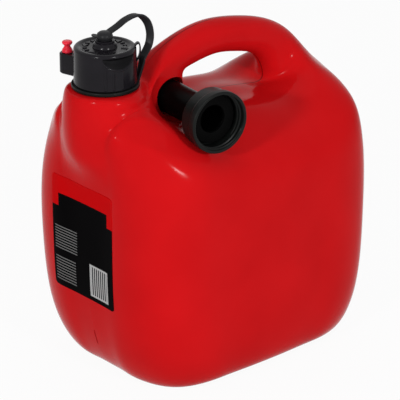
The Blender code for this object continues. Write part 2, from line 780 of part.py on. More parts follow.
def band_route():
    # the band's middle line from the ring, up behind the cap, over and down to the button,
    # in shares of the ring's radius and of the height from the ring to the button's top
    ring_turn = math.radians(-22.0)
    reach = RING_RADIUS - 0.0009
    foot = Vector((reach * math.cos(ring_turn), reach * math.sin(ring_turn), RING_TOP - 0.0008))
    knob = Vector((BUTTON_RADIUS * 0.60, 0.0, BUTTON_TOP - 0.0016))
    height = BUTTON_TOP - RING_TOP
    shape = [
        (1.012, -0.410, 0.26), (1.055, -0.415, 0.38), (1.180, -0.365, 0.46), (1.364, -0.335, 0.60),
        (1.435, -0.310, 0.80), (1.360, -0.276, 1.02), (1.150, -0.234, 1.17), (0.920, -0.192, 1.20),
        (0.640, -0.134, 1.145), (0.400, -0.067, 1.045),
    ]
    route = [foot]
    for x, y, share in shape:
        route.append(Vector((x * RING_RADIUS, y * RING_RADIUS, RING_TOP + height * share)))
    route.append(knob)
    return route


def smooth_route(route, per_leg):
    # a curve through the route's own points
    places = []
    ends = [route[0] * 2 - route[1]] + route + [route[-1] * 2 - route[-2]]
    for a, b, c, d in zip(ends, ends[1:], ends[2:], ends[3:]):
        for step in range(per_leg):
            t = step / per_leg
            places.append(0.5 * ((2 * b) + (c - a) * t + (2 * a - 5 * b + 4 * c - d) * t * t
                                 + (3 * b - a - 3 * c + d) * t ** 3))
    places.append(route[-1])
    return places


def band_turn(share):
    # the bearing of the band's width: along the ring first, turning over the top, flat at the button
    bearings = ((0.0, -105.0), (0.18, -85.0), (0.34, -55.0), (0.55, -50.0), (0.75, -78.0), (1.0, -84.0))
    for (start, first), (end, last) in zip(bearings, bearings[1:]):
        if share <= end:
            return first + (last - first) * (share - start) / (end - start)
    return bearings[-1][1]


def band_form(name):
    places = smooth_route(band_route(), 3)
    count = len(places)
    sections = []
    for i, place in enumerate(places):
        ahead = places[min(i + 1, count - 1)] - places[max(i - 1, 0)]
        ahead.normalize()
        turn = math.radians(band_turn(i / (count - 1)))
        wide = Vector((math.cos(turn), math.sin(turn), 0.0))
        wide = (wide - ahead * wide.dot(ahead)).normalized()
        thick = ahead.cross(wide)
        half_width, half_thickness = wide * BAND_WIDTH / 2, thick * BAND_THICKNESS / 2
        sections.append([
            place - half_width - half_thickness, place + half_width - half_thickness,
            place + half_width + half_thickness, place - half_width + half_thickness,
        ])
    return loft(name, sections)


def build_tether(black):
    inner = NECK_RADIUS + GAP
    edge = 0.0006
    tether = turned("cap_tether", [
        (inner, RING_TOP), (RING_RADIUS - edge, RING_TOP), (RING_RADIUS, RING_TOP - edge),
        (RING_RADIUS, RING_BOTTOM), (inner, RING_BOTTOM),
    ], black)
    stem_low = CAP_CEILING - GAP
    head_low = stem_low - 0.0016
    button = turned("tether_button", [
        (0.0, BUTTON_TOP), (BUTTON_RADIUS * 0.72, BUTTON_TOP - 0.0003), (BUTTON_RADIUS, BUTTON_TOP - 0.0016),
        (BUTTON_RADIUS, BUTTON_BOTTOM), (STEM_RADIUS, BUTTON_BOTTOM), (STEM_RADIUS, stem_low),
        (STEM_HEAD_RADIUS, stem_low), (STEM_RADIUS * 0.8, head_low - 0.001), (0.0, head_low - 0.001),
    ], steps=24)
    band = band_form("tether_band")
    for piece in (tether, button, band):
        piece.location.x = NECK_X
    boolean(tether, "UNION", button)
    boolean(tether, "UNION", band)


# Pouring spout


def lay_along_spout(piece):
    # local +Z runs from the mouth back through the tunnel
    piece.location = (MOUTH_X, -MOUTH_REACH, SPOUT_AXIS_HEIGHT)
    piece.rotation_euler = (-math.pi / 2, 0.0, -SPOUT_TURN)


def build_spout(black, rubber):
    edge = 0.0010
    bore = NUT_MOUTH_RADIUS - NUT_WALL
    hole = TUBE_RADIUS + GAP
    back = NUT_LENGTH - NUT_BACK_WALL
    nut = turned("spout_nut", [
        (hole, NUT_LENGTH), (NUT_BACK_RADIUS - edge, NUT_LENGTH), (NUT_BACK_RADIUS, NUT_LENGTH - edge),
        (NUT_MOUTH_RADIUS, 0.0), (bore, 0.0), (bore, back), (hole, back),
    ], black)
    thread = thread_rib("nut_thread", bore, True, 0.0015, THREAD_TURNS, 0.0036, 0.0009)
    boolean(nut, "UNION", thread)
    flange_back = back - GAP
    flange_front = flange_back - FLANGE_THICKNESS
    taper = SPOUT_LENGTH - TUBE_TAPER_LENGTH
    tube = turned("spout_tube", [
        (TUBE_TIP_RADIUS - TUBE_WALL, SPOUT_LENGTH), (TUBE_TIP_RADIUS, SPOUT_LENGTH), (TUBE_RADIUS, taper),
        (TUBE_RADIUS, flange_back), (FLANGE_RADIUS, flange_back), (FLANGE_RADIUS, flange_front),
        (TUBE_RADIUS - TUBE_WALL, flange_front), (TUBE_RADIUS - TUBE_WALL, taper),
    ], black)
    gasket_back = flange_front - GAP
    gasket_front = gasket_back - SPOUT_GASKET_THICKNESS
    gasket = turned("spout_gasket", [
        (TUBE_RADIUS - TUBE_WALL, gasket_back), (FLANGE_RADIUS, gasket_back),
        (FLANGE_RADIUS, gasket_front), (TUBE_RADIUS - TUBE_WALL, gasket_front),
    ], rubber)
    for piece in (nut, thread, tube, gasket):
        lay_along_spout(piece)


def main():
    global MODEL, CUTTERS
    clear_scene()
    MODEL = new_collection("fuel_can")
    CUTTERS = new_collection("cutters")
    red = plastic("red_polyethylene", (0.50, 0.010, 0.014), 0.30)
    bright_red = plastic("bright_red_polyethylene", (0.70, 0.020, 0.030), 0.35)
    black = plastic("black_polyethylene", (0.014, 0.014, 0.016), 0.45)
    rubber = plastic("black_rubber", (0.010, 0.010, 0.010), 0.80)
    film = plastic("label_film", (0.020, 0.020, 0.022), 0.40)
    mesh = build_tank(red)
    build_neck(red)
    build_label(mesh, film)
    build_cap(black, rubber, bright_red)
    build_tether(black)
    build_spout(black, rubber)
    bpy.context.view_layer.update()


main()
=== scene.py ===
# Plastic fuel can: the fine surfaces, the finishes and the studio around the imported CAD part.
# Lengths are in metres. The can stands on z = 0, its neck is near the -X end wall, and the
# kept spout's mouth shows on the -Y side.

import math

import bmesh
import bpy
from mathutils import Matrix, Vector
from mathutils.bvhtree import BVHTree
from mathutils.geometry import intersect_point_line


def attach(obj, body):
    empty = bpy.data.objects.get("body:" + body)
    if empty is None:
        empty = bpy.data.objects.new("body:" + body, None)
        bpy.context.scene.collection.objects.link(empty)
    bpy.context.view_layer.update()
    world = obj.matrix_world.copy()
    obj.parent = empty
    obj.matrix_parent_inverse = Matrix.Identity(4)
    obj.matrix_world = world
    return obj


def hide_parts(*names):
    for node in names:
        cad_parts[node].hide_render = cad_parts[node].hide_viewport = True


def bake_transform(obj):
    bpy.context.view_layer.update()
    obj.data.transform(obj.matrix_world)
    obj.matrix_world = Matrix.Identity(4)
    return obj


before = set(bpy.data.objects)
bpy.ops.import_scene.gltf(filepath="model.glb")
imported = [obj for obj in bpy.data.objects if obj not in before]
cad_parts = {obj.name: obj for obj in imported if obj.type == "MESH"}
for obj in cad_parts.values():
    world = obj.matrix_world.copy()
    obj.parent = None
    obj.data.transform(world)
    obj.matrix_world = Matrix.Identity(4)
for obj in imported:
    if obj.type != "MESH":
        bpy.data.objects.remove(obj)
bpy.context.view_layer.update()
print("CAD frame loaded")

# the sizes below are the CAD part's, with what the fine surfaces add; bearings are in degrees round the neck
fit = {"gap": 0.0003}  # clearance between pieces that touch


# Small tools


def linear(hexColour):
    # an sRGB hex colour as linear red, green, blue and alpha
    parts = [int(hexColour[i:i + 2], 16) / 255 for i in (0, 2, 4)]
    curve = [p / 12.92 if p <= 0.04045 else ((p + 0.055) / 1.055) ** 2.4 for p in parts]
    return (*curve, 1.0)


def addNode(tree, kind, settings=None, links=None):
    # settings go to the node itself where it has the name, or else to the socket of that name
    node = tree.nodes.new(kind)
    for name, value in (settings or {}).items():
        if isinstance(name, str) and hasattr(node, name):
            setattr(node, name, value)
        else:
            node.inputs[name].default_value = value
    for name, source in (links or {}).items():
        tree.links.new(source, node.inputs[name])
    return node


def newMaterial(name):
    made = bpy.data.materials.new(name)
    made.use_nodes = True
    return made, made.node_tree, made.node_tree.nodes["Principled BSDF"]


def meshFrom(bm, name):
    mesh = bpy.data.meshes.new(name)
    bm.to_mesh(mesh)
    bm.free()
    return mesh


def addObject(name, data):
    made = bpy.data.objects.new(name, data)
    bpy.context.scene.collection.objects.link(made)
    return made


def addPiece(name, mesh, material, body, replaces=()):
    # a visible piece that rides on a body, in place of the CAD nodes that it replaces
    made = addObject(name, mesh)
    mesh.materials.append(material)
    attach(made, body)
    for node in replaces:
        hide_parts(node)
    return made


def settle(piece, tools=()):
    # the modifiers are worked into the mesh, and the tools that they used go
    graph = bpy.context.evaluated_depsgraph_get()
    mesh = bpy.data.meshes.new_from_object(piece.evaluated_get(graph))
    for polygon in mesh.polygons:
        polygon.use_smooth = True
    piece.modifiers.clear()
    piece.data = mesh
    for tool in tools:
        bpy.data.objects.remove(tool)


def boolean(piece, operation, tool):
    step = piece.modifiers.new(operation.lower(), "BOOLEAN")
    step.operation = operation
    step.solver = "EXACT"
    step.object = tool


def keepEdges(piece, degrees=32.0):
    # edges sharper than the angle stay crisp, and the rest is shaded smooth
    mesh = piece.data
    limit = math.radians(degrees)
    bm = bmesh.new()
    bm.from_mesh(mesh)
    for face in bm.faces:
        face.smooth = True
    for edge in bm.edges:
        edge.smooth = len(edge.link_faces) != 2 or edge.calc_face_angle(0.0) < limit
    bm.to_mesh(mesh)
    bm.free()


def turnedMesh(name, outline, steps=96, place=None):
    # (radius, height) points swept round Z; the outline is closed unless it ends on the axis
    bm = bmesh.new()
    rows = []
    for radius, height in outline:
        if radius == 0.0:
            rows.append([bm.verts.new((0.0, 0.0, height))])
            continue
        row = []
        for step in range(steps):
            angle = math.tau * step / steps
            row.append(bm.verts.new((radius * math.cos(angle), radius * math.sin(angle), height)))
        rows.append(row)
    pairs = list(zip(rows, rows[1:]))
    if outline[0][0] != 0.0:
        pairs.append((rows[-1], rows[0]))
    for row, after in pairs:
        for step in range(steps):
            nextStep = (step + 1) % steps
            corners = [row[step % len(row)], row[nextStep % len(row)]]
            corners += [after[nextStep % len(after)], after[step % len(after)]]
            corners = list(dict.fromkeys(corners))
            if len(corners) > 2:
                bm.faces.new(corners)
    bmesh.ops.recalc_face_normals(bm, faces=bm.faces)
    if place is not None:
        bmesh.ops.transform(bm, matrix=place, verts=bm.verts)
    return meshFrom(bm, name)


def rounded(outline, radius, steps=4):
    # the outline with its corners rounded, for moulded edges
    result = []
    count = len(outline)
    for i, (r, z) in enumerate(outline):
        before = Vector(outline[i - 1]) - Vector((r, z))
        after = Vector(outline[(i + 1) % count]) - Vector((r, z))
        if r == 0.0 or before.length == 0.0 or after.length == 0.0:
            result.append((r, z))
            continue
        reach = min(radius, before.length * 0.45, after.length * 0.45)
        start = Vector((r, z)) + before.normalized() * reach
        end = Vector((r, z)) + after.normalized() * reach
        for step in range(steps + 1):
            t = step / steps
            point = start * (1 - t) ** 2 + Vector((r, z)) * 2 * t * (1 - t) + end * t * t
            result.append((max(point.x, 0.0), point.y))
    return result


def loftMesh(name, sections):
    bm = bmesh.new()
    rows = [[bm.verts.new(point) for point in section] for section in sections]
    count = len(rows[0])
    for row, after in zip(rows, rows[1:]):
        for i in range(count):
            j = (i + 1) % count
            bm.faces.new((row[i], row[j], after[j], after[i]))
    bm.faces.new(list(reversed(rows[0])))
    bm.faces.new(rows[-1])
    bmesh.ops.recalc_face_normals(bm, faces=bm.faces)
    return meshFrom(bm, name)


def threadMesh(name, radius, inward, start, turns, lead, height, place):
    # a helical rib that swells from nothing and runs out again
    perTurn = 48
    count = int(turns * perTurn)
    sections = []
    for i in range(count + 1):
        angle = math.tau * i / perTurn
        fade = min(1.0, i / 10, (count - i) / 10)
        rib = height * fade + 0.00002
        side = -1.0 if inward else 1.0
        z = start + lead * i / perTurn
        half = height * 1.1
        outline = [(radius - side * 0.0003, half), (radius + side * rib * 0.9, half * 0.35)]
        outline += [(radius + side * rib * 0.9, -half * 0.35), (radius - side * 0.0003, -half)]
        sections.append([(r * math.cos(angle), r * math.sin(angle), z + dz) for r, dz in outline])
    mesh = loftMesh(name, sections)
    mesh.transform(place)
    return mesh


def joined(name, meshes):
    bm = bmesh.new()
    for mesh in meshes:
        bm.from_mesh(mesh)
    return meshFrom(bm, name)


def ellipse(halfWidth, halfHeight, steps):
    turn = math.tau / steps
    return [(halfWidth * math.cos(i * turn), halfHeight * math.sin(i * turn)) for i in range(steps)]


def smoothRoute(route, perLeg):
    # a curve through the route's own points
    places = []
    ends = [route[0] * 2 - route[1]] + route + [route[-1] * 2 - route[-2]]
    for a, b, c, d in zip(ends, ends[1:], ends[2:], ends[3:]):
        for step in range(perLeg):
            t = step / perLeg
            places.append(0.5 * ((2 * b) + (c - a) * t + (2 * a - 5 * b + 4 * c - d) * t * t
                                 + (3 * b - a - 3 * c + d) * t ** 3))
    places.append(route[-1])
    return places


def distanceToLine(place, line):
    # the least distance from a place to a line through several points
    distances = []
    for start, end in zip(line, line[1:]):
        share = intersect_point_line(place, start, end)[1]
        distances.append((place - start.lerp(end, min(max(share, 0.0), 1.0))).length)
    return min(distances)


# Finishes


def redPolyethylene():
    # blow-moulded high-density polyethylene: a waxy gloss over slow waves, with a fine orange peel
    finish = {
        "colour": "cb1317", "deep": "c00f13", "flash": "5c0204", "roughness": 0.14, "sheen": 0.022,
        "cloudSize": 0.045, "waveSize": 0.030, "waveDepth": 0.0006, "peelSize": 0.0016, "peelDepth": 0.00012,
        "seamHalfWidth": 0.0009, "seamHalfTop": 0.0002, "seamHeight": 0.0002,
        "flashShare": 0.75, "flashHeights": (0.150, 0.175), "flashPlaces": (-0.060, -0.030),
    }
    material, tree, shader = newMaterial("red blow-moulded polyethylene")
    place = addNode(tree, "ShaderNodeTexCoord")
    clouds = addNode(tree, "ShaderNodeTexNoise", {"Scale": 1 / finish["cloudSize"], "Detail": 2.0},
                     {"Vector": place.outputs["Object"]})
    tones = addNode(tree, "ShaderNodeValToRGB", links={"Fac": clouds.outputs["Fac"]})
    tones.color_ramp.elements[0].position = 0.25
    tones.color_ramp.elements[0].color = linear(finish["deep"])
    tones.color_ramp.elements[1].position = 0.75
    tones.color_ramp.elements[1].color = linear(finish["colour"])
    waves = addNode(tree, "ShaderNodeTexNoise", {"Scale": 1 / finish["waveSize"], "Detail": 1.0},
                    {"Vector": place.outputs["Object"]})
    peel = addNode(tree, "ShaderNodeTexNoise", {"Scale": 1 / finish["peelSize"], "Detail": 2.0},
                   {"Vector": place.outputs["Object"]})
    waveBump = addNode(tree, "ShaderNodeBump", {"Strength": 0.35, "Distance": finish["waveDepth"]},
                       {"Height": waves.outputs["Fac"]})
    peelBump = addNode(tree, "ShaderNodeBump", {"Strength": 0.10, "Distance": finish["peelDepth"]},
                       {"Height": peel.outputs["Fac"], "Normal": waveBump.outputs["Normal"]})
    # the mould's halves meet in the middle plane: a fine raised line, dark with flash on top behind the neck
    axes = addNode(tree, "ShaderNodeSeparateXYZ", links={"Vector": place.outputs["Object"]})
    across = addNode(tree, "ShaderNodeMath", {"operation": "ABSOLUTE"}, {0: axes.outputs["Y"]})
    line = addNode(tree, "ShaderNodeMapRange",
                   {"interpolation_type": "SMOOTHSTEP", "From Min": finish["seamHalfWidth"],
                    "From Max": finish["seamHalfTop"]}, {"Value": across.outputs["Value"]})
    low, high = finish["flashHeights"]
    upper = addNode(tree, "ShaderNodeMapRange",
                    {"From Min": low, "From Max": high, "To Max": finish["flashShare"]},
                    {"Value": axes.outputs["Z"]})
    front, rear = finish["flashPlaces"]
    behind = addNode(tree, "ShaderNodeMapRange", {"From Min": front, "From Max": rear},
                     {"Value": axes.outputs["X"]})
    flash = addNode(tree, "ShaderNodeMath", {"operation": "MULTIPLY"},
                    {0: upper.outputs["Result"], 1: behind.outputs["Result"]})
    flash = addNode(tree, "ShaderNodeMath", {"operation": "MULTIPLY"},
                    {0: flash.outputs[0], 1: line.outputs["Result"]})
    skinColour = addNode(tree, "ShaderNodeMix", {"data_type": "RGBA"},
                         {"Factor": flash.outputs[0], 6: tones.outputs["Color"]})
    skinColour.inputs[7].default_value = linear(finish["flash"])
    tree.links.new(skinColour.outputs[2], shader.inputs["Base Color"])
    seam = addNode(tree, "ShaderNodeBump", {"Strength": 0.25, "Distance": finish["seamHeight"]},
                   {"Height": line.outputs["Result"], "Normal": peelBump.outputs["Normal"]})
    tree.links.new(seam.outputs["Normal"], shader.inputs["Normal"])
    shader.inputs["Roughness"].default_value = finish["roughness"]
    shader.inputs["IOR"].default_value = 1.54
    # held down to match the photo, whose studio was dark but for its lamps
    shader.inputs["Specular IOR Level"].default_value = finish["sheen"]
    return material


def mouldedPlastic(name, finish):
    # injection-moulded plastic: an even fine grain from the mould, and slight flow shading
    material, tree, shader = newMaterial(name)
    place = addNode(tree, "ShaderNodeTexCoord")
    flow = addNode(tree, "ShaderNodeTexNoise", {"Scale": 1 / 0.012, "Detail": 2.0},
                   {"Vector": place.outputs["Object"]})
    tones = addNode(tree, "ShaderNodeValToRGB", links={"Fac": flow.outputs["Fac"]})
    tones.color_ramp.elements[0].position = 0.3
    tones.color_ramp.elements[0].color = [part * 0.8 for part in linear(finish["colour"])[:3]] + [1.0]
    tones.color_ramp.elements[1].position = 0.7
    tones.color_ramp.elements[1].color = linear(finish["colour"])
    tree.links.new(tones.outputs["Color"], shader.inputs["Base Color"])
    grain = addNode(tree, "ShaderNodeTexNoise", {"Scale": 1 / finish["grain"], "Detail": 3.0},
                    {"Vector": place.outputs["Object"]})
    bump = addNode(tree, "ShaderNodeBump", {"Strength": 0.35, "Distance": finish["grainDepth"]},
                   {"Height": grain.outputs["Fac"]})
    tree.links.new(bump.outputs["Normal"], shader.inputs["Normal"])
    shader.inputs["Roughness"].default_value = finish["roughness"]
    shader.inputs["IOR"].default_value = 1.49
    shader.inputs["Specular IOR Level"].default_value = finish["sheen"]
    return material


red = redPolyethylene()
# polypropylene, injection-moulded in a polished mould: near-black with a satin shine
capBlack = mouldedPlastic("black moulded polypropylene", {
    "colour": "1a181c", "roughness": 0.22, "sheen": 0.11, "grain": 0.0012, "grainDepth": 0.00004,
})
# the same plastic where the mould was left unpolished, so the thumb scoop shows no clear reflection; its
# darker black is painted shade in the hollow
scoopShadeBlack = mouldedPlastic("black polypropylene, darkened as painted scoop shade", {
    "colour": "0b0a0c", "roughness": 0.5, "sheen": 0.05, "grain": 0.0008, "grainDepth": 0.00008,
})
# soft low-density polyethylene: duller, so the strap shows a broad weak sheen
strapBlack = mouldedPlastic("black soft polyethylene", {
    "colour": "232325", "roughness": 0.38, "sheen": 0.10, "grain": 0.0010, "grainDepth": 0.00006,
})
# high-density polyethylene from a grained mould: a dull black for the spout's nut and the tether's ring
grainedBlack = mouldedPlastic("black grained polyethylene", {
    "colour": "121413", "roughness": 0.36, "sheen": 0.10, "grain": 0.0009, "grainDepth": 0.00008,
})
# the same plastic, a little smoother; its deeper black is painted shade, so the tube looks darker than its
# nut
tubeShadeBlack = mouldedPlastic("black polyethylene, darkened as painted shade", {
    "colour": "040404", "roughness": 0.32, "sheen": 0.02, "grain": 0.0014, "grainDepth": 0.00003,
})
# nitrile rubber, pressed: matt, with no clear reflection; its black is deeper than the rubber's own, as
# painted shade inside the nut and the cap
shadedSealRubber = mouldedPlastic("black nitrile rubber, darkened as painted shade", {
    "colour": "050505", "roughness": 0.75, "sheen": 0.04, "grain": 0.0008, "grainDepth": 0.00015,
})
# polyethylene of a brighter red than the tank, for the stopper that is pulled by hand
stopperRed = mouldedPlastic("bright red moulded polyethylene", {
    "colour": "f82a40", "roughness": 0.33, "sheen": 0.20, "grain": 0.0010, "grainDepth": 0.00005,
})
print("finishes made")


# Tank with its column and handle: the cage of its near half, in named points

tank = {
    "length": 0.2182, "depth": 0.1558, "sideCrown": 0.0024, "cornerRadius": 0.0376, "wallHeight": 0.093,
    "panelDrop": 0.023, "shoulderHeight": 0.168, "shoulderInset": 0.0076,
    "footHeight": 0.037, "footFrontInset": 0.0042, "footRearInset": 0.0014, "footSideInset": 0.0004,
    "footCornerRadius": 0.0415,
    "baseEdgeHeight": 0.005, "baseFrontInset": 0.019, "baseRearInset": 0.0128, "baseSideInset": 0.0098,
    "baseCornerRadius": 0.0365, "baseFlatInset": 0.0355,
}
column = {
    "neckSetback": 0.0186, "radius": 0.03, "rise": 0.0533, "edgeDrop": 0.0076, "faceRadius": 0.0254,
    "faceDrop": 0.0006,
}
handle = {"rise": 0.0272, "thickness": 0.0256, "width": 0.0251, "gapFloorRise": 0.027}

frontX = -tank["length"] / 2
rearX = tank["length"] / 2
halfDepth = tank["depth"] / 2
panelTop = tank["shoulderHeight"] - tank["panelDrop"]
columnTop = tank["shoulderHeight"] + column["rise"]
handleTop = columnTop + handle["rise"]
gapFloor = tank["shoulderHeight"] + handle["gapFloorRise"]
neckX = frontX + column["neckSetback"]


def wallRing(height, frontInset, rearInset, sideInset, radius):
    # fifteen points from the middle of the front wall round the near side to the rear wall
    front = frontX + frontInset
    rear = rearX - rearInset
    depth = halfDepth - sideInset
    flat = depth - radius
    slant = radius * (1 - math.sqrt(0.5))
    points = [(front, -flat * share, height) for share in (0.0, 0.5, 1.0)]
    points.append((front + slant, -depth + slant, height))
    for share in (0.0, 0.15, 0.31, 0.48, 0.65, 0.83, 1.0):
        crown = tank["sideCrown"] * (1 - (2 * share - 1) ** 2)
        points.append((front + radius + (rear - front - 2 * radius) * share, -depth - crown, height))
    points.append((rear - slant, -depth + slant, height))
    points += [(rear, -flat * share, height) for share in (1.0, 0.5, 0.0)]
    return points


def alongTop(share):
    # places along the top run from the neck's axis (0) to the rear wall (1)
    return neckX + (rearX - neckX) * share


def wallPoints():
    rings = {
        "base": wallRing(tank["baseEdgeHeight"], tank["baseFrontInset"], tank["baseRearInset"],
                         tank["baseSideInset"], tank["baseCornerRadius"]),
        "foot": wallRing(tank["footHeight"], tank["footFrontInset"], tank["footRearInset"],
                         tank["footSideInset"], tank["footCornerRadius"]),
        "wall": wallRing(tank["wallHeight"], 0.0, 0.0, 0.0, tank["cornerRadius"]),
        "panel": wallRing(panelTop, 0.0, 0.0, 0.0004, tank["cornerRadius"]),
    }
    points = {}
    for ring, places in rings.items():
        for i, place in enumerate(places):
            points[f"{ring}{i}"] = place
    for i in (0, 1, 2):
        # under the neck the front wall runs higher before it meets the column
        x, y, z = points[f"panel{i}"]
        points[f"panel{i}"] = (x, y, z + 0.0080)
    points["panel_v"] = (frontX - 0.0004, -0.0270, panelTop + 0.0070)
    return points


def shoulderPoints():
    side = -halfDepth + tank["shoulderInset"]
    level = tank["shoulderHeight"]
    columnFront = neckX - column["radius"]
    return {
        "edge0": (columnFront, 0.0, level + 0.0080),
        "edge1": (columnFront + 0.0062, -0.0190, level + 0.0095),
        "edge_v": (frontX - 0.0020, -0.0270, level + 0.0135),
        "edge2": (frontX + 0.0021, -0.0415, level + 0.0195),
        "edge3": (neckX - 0.0002, side + 0.0124, level + 0.0173),
        "edge4": (alongTop(0.082), side + 0.0010, level + 0.0125),
        "edge5": (alongTop(0.182), side, level + 0.0068),
        "edge6": (alongTop(0.292), side, level + 0.0020),
        "edge7": (alongTop(0.415), side, level + 0.0002),
        "edge8": (alongTop(0.549), side, level + 0.0002),
        "edge9": (alongTop(0.695), side - 0.0003, level + 0.0006),
        "edge10": (alongTop(0.828), side + 0.0011, level + 0.0035),
        "edge11": (alongTop(0.917), side + 0.0092, level + 0.0097),
        "edge12": (alongTop(0.978), -0.0407, level + 0.0136),
        "edge13": (alongTop(0.994), -0.0199, level + 0.0172),
        "edge14": (alongTop(1.000), 0.0, level + 0.0198),
        "round1": (neckX - 0.0187, -0.0270, level + 0.0285),
        "round2": (neckX + 0.0030, -0.0326, level + 0.0432),
        "round3": (neckX + 0.0222, -0.0264, level + 0.0400),
        "top0": (neckX - 0.0165, -0.0335, level + 0.0325),
        "top1": (neckX + 0.0045, -0.0370, level + 0.0420),
        "top2": (alongTop(0.158), -0.0355, level + 0.0262),
        "top3": (alongTop(0.311), -0.0399, level + 0.0230),
        "top4": (alongTop(0.501), -0.0418, level + 0.0238),
        "top5": (alongTop(0.701), -0.0418, level + 0.0192),
        "top6": (alongTop(0.848), -0.0352, level + 0.0317),
    }


def columnPoints():
    level = columnTop - column["faceDrop"]
    points = {"neck": (neckX, 0.0, level)}
    halfRoot = math.sqrt(0.5)
    around = ((-1.0, 0.0), (-halfRoot, -halfRoot), (0.0, -1.0), (halfRoot, -halfRoot), (1.0, 0.0))
    for i, across in enumerate(around):
        inner = column["faceRadius"]
        points[f"face{i}"] = (neckX + inner * across[0], inner * across[1], level)
        outer = column["radius"]
        side = (neckX + outer * across[0], outer * across[1], columnTop - column["edgeDrop"])
        points[f"column{i}"] = side
    points["column3"] = (alongTop(0.113), -0.0204, columnTop - column["edgeDrop"])
    points["column4"] = (alongTop(0.165), 0.0, columnTop + 0.0036)
    return points


def handlePoints():
    # stations along the handle: place, drop of the middle line below the top one, slope, spread
    stations = [
        (0.239, 0.0108, 22.0, 1.0),
        (0.353, 0.0037, 13.0, 1.0),
        (0.477, 0.0000, 1.0, 1.0),
        (0.606, 0.0038, -16.0, 1.02),
        (0.720, 0.0110, -28.0, 1.06),
        (0.806, 0.0237, -42.0, 1.17),
    ]
    corner = 0.72
    halfWidth = handle["width"] / 2
    middle = handleTop - handle["thickness"] / 2
    points = {}
    for k, (share, drop, slope, spread) in enumerate(stations, start=1):
        half = handle["thickness"] / 2 * spread
        turn = math.radians(slope)
        x, z = alongTop(share), middle - drop
        up = (-math.sin(turn) * half, math.cos(turn) * half)
        points[f"crest{k}"] = (x + up[0], 0.0, z + up[1])
        points[f"upper{k}"] = (x + up[0] * corner, -halfWidth * corner, z + up[1] * corner)
        points[f"side{k}"] = (x, -halfWidth, z)
        points[f"lower{k}"] = (x - up[0] * corner, -halfWidth * corner, z - up[1] * corner)
        points[f"under{k}"] = (x - up[0], 0.0, z - up[1])
    return points


def footPoints():
    # where the handle's two feet meet the column, the tank's top and the hand gap's floor
    floor, top = gapFloor, handleTop
    return {
        "crest1": (alongTop(0.218), 0.0, top - 0.0146),
        "upper1": (alongTop(0.225), -0.0095, top - 0.0163),
        "side1": (alongTop(0.244), -0.0133, top - 0.0234),
        "under1": (alongTop(0.325), 0.0, top - 0.0319),
        "crest6": (alongTop(0.860), 0.0, top - 0.0250),
        "upper6": (alongTop(0.844), -0.0114, top - 0.0305),
        "side6": (alongTop(0.810), -0.0147, top - 0.0376),
        "lower6": (alongTop(0.753), -0.0104, top - 0.0471),
        "under6": (alongTop(0.732), 0.0, top - 0.0490),
        "crest7": (alongTop(0.950), 0.0, top - 0.0462),
        "upper7": (alongTop(0.919), -0.0190, top - 0.0486),
        "front_foot_high": (alongTop(0.158), -0.0147, columnTop - 0.0019),
        "front_foot_mid": (alongTop(0.154), -0.0161, columnTop - 0.0152),
        "foot_side": (alongTop(0.239), -0.0138, columnTop - 0.0152),
        "front_foot_low": (alongTop(0.163), -0.0190, floor + 0.0007),
        "foot_side_low": (alongTop(0.244), -0.0181, floor - 0.0060),
        "rear_foot_low": (alongTop(0.330), -0.0143, floor - 0.0022),
        "gap_front_high": (alongTop(0.313), -0.0095, floor + 0.0235),
        "gap_front_low": (alongTop(0.320), -0.0095, floor + 0.0092),
        "gap_front": (alongTop(0.328), 0.0, floor + 0.0083),
        "floor0": (alongTop(0.345), 0.0, floor + 0.0007),
        "floor1": (alongTop(0.501), 0.0, floor - 0.0001),
        "floor2": (alongTop(0.634), 0.0, floor - 0.0028),
        "floor3": (alongTop(0.720), 0.0, floor - 0.0055),
        "floor_side1": (alongTop(0.501), -0.0199, floor - 0.0017),
        "floor_side2": (alongTop(0.663), -0.0190, floor - 0.0050),
        "floor_side3": (alongTop(0.768), -0.0181, floor - 0.0004),
    }


def basePoints():
    # the flat that the can stands on, seven points long and three deep
    points = {}
    front = frontX + tank["baseFlatInset"]
    rear = rearX - tank["baseFlatInset"]
    depth = halfDepth - tank["baseFlatInset"]
    for i in range(7):
        for j in range(3):
            points[f"flat{i}_{j}"] = (front + (rear - front) * i / 6, -depth * j / 2, 0.0)
    return points


def cagePoints():
    points = wallPoints()
    points.update(basePoints())
    points.update(shoulderPoints())
    points.update(columnPoints())
    points.update(handlePoints())
    points.update(footPoints())
    return points


# the faces of the shoulders, the column's top, the hand gap and the handle's feet, by their points' names
topFaces = """
neck face0 face1 face2
neck face2 face3 face4
face0 column0 column1 face1
face1 column1 column2 face2
face2 column2 column3 face3
face3 column3 column4 face4
edge0 edge1 column1 column0
wall1 wall2 panel2 panel_v panel1
panel1 panel_v edge_v edge1
panel_v panel2 edge2 edge_v
edge1 edge_v round1 column1
edge_v edge2 top0 round1
edge2 edge3 edge4 top0
column1 round1 round2 column2
round1 top0 top1 round2
top0 edge4 edge5 top1
column2 round2 round3 column3
round2 top1 top2 round3
top1 edge5 edge6 top2
column3 round3 front_foot_mid front_foot_high
round3 top2 foot_side_low front_foot_low front_foot_mid
top2 top3 rear_foot_low foot_side_low
top2 edge6 edge7 top3
top3 top4 floor_side1 rear_foot_low
top3 edge7 edge8 top4
top4 top5 floor_side2 floor_side1
top4 edge8 edge9 top5
top5 top6 floor_side3 floor_side2
top5 edge9 edge10 top6
top6 edge10 edge11 edge12
top6 edge12 edge13 upper7
upper7 edge13 edge14 crest7
column4 column3 upper1 crest1
column3 front_foot_high side1 upper1
front_foot_high front_foot_mid foot_side side1
side1 foot_side gap_front_low gap_front_high
front_foot_mid front_foot_low foot_side_low foot_side
foot_side foot_side_low rear_foot_low gap_front_low
gap_front_high gap_front_low gap_front under1
gap_front_low rear_foot_low floor0 gap_front
rear_foot_low floor_side1 floor1 floor0
floor_side1 floor_side2 floor2 floor1
floor_side2 floor_side3 floor3 floor2
crest6 upper6 upper7 crest7
upper6 side6 top6 upper7
side6 lower6 floor_side3 top6
side1 gap_front_high lower2 side2
gap_front_high under1 under2 lower2
lower6 under6 floor3 floor_side3
"""


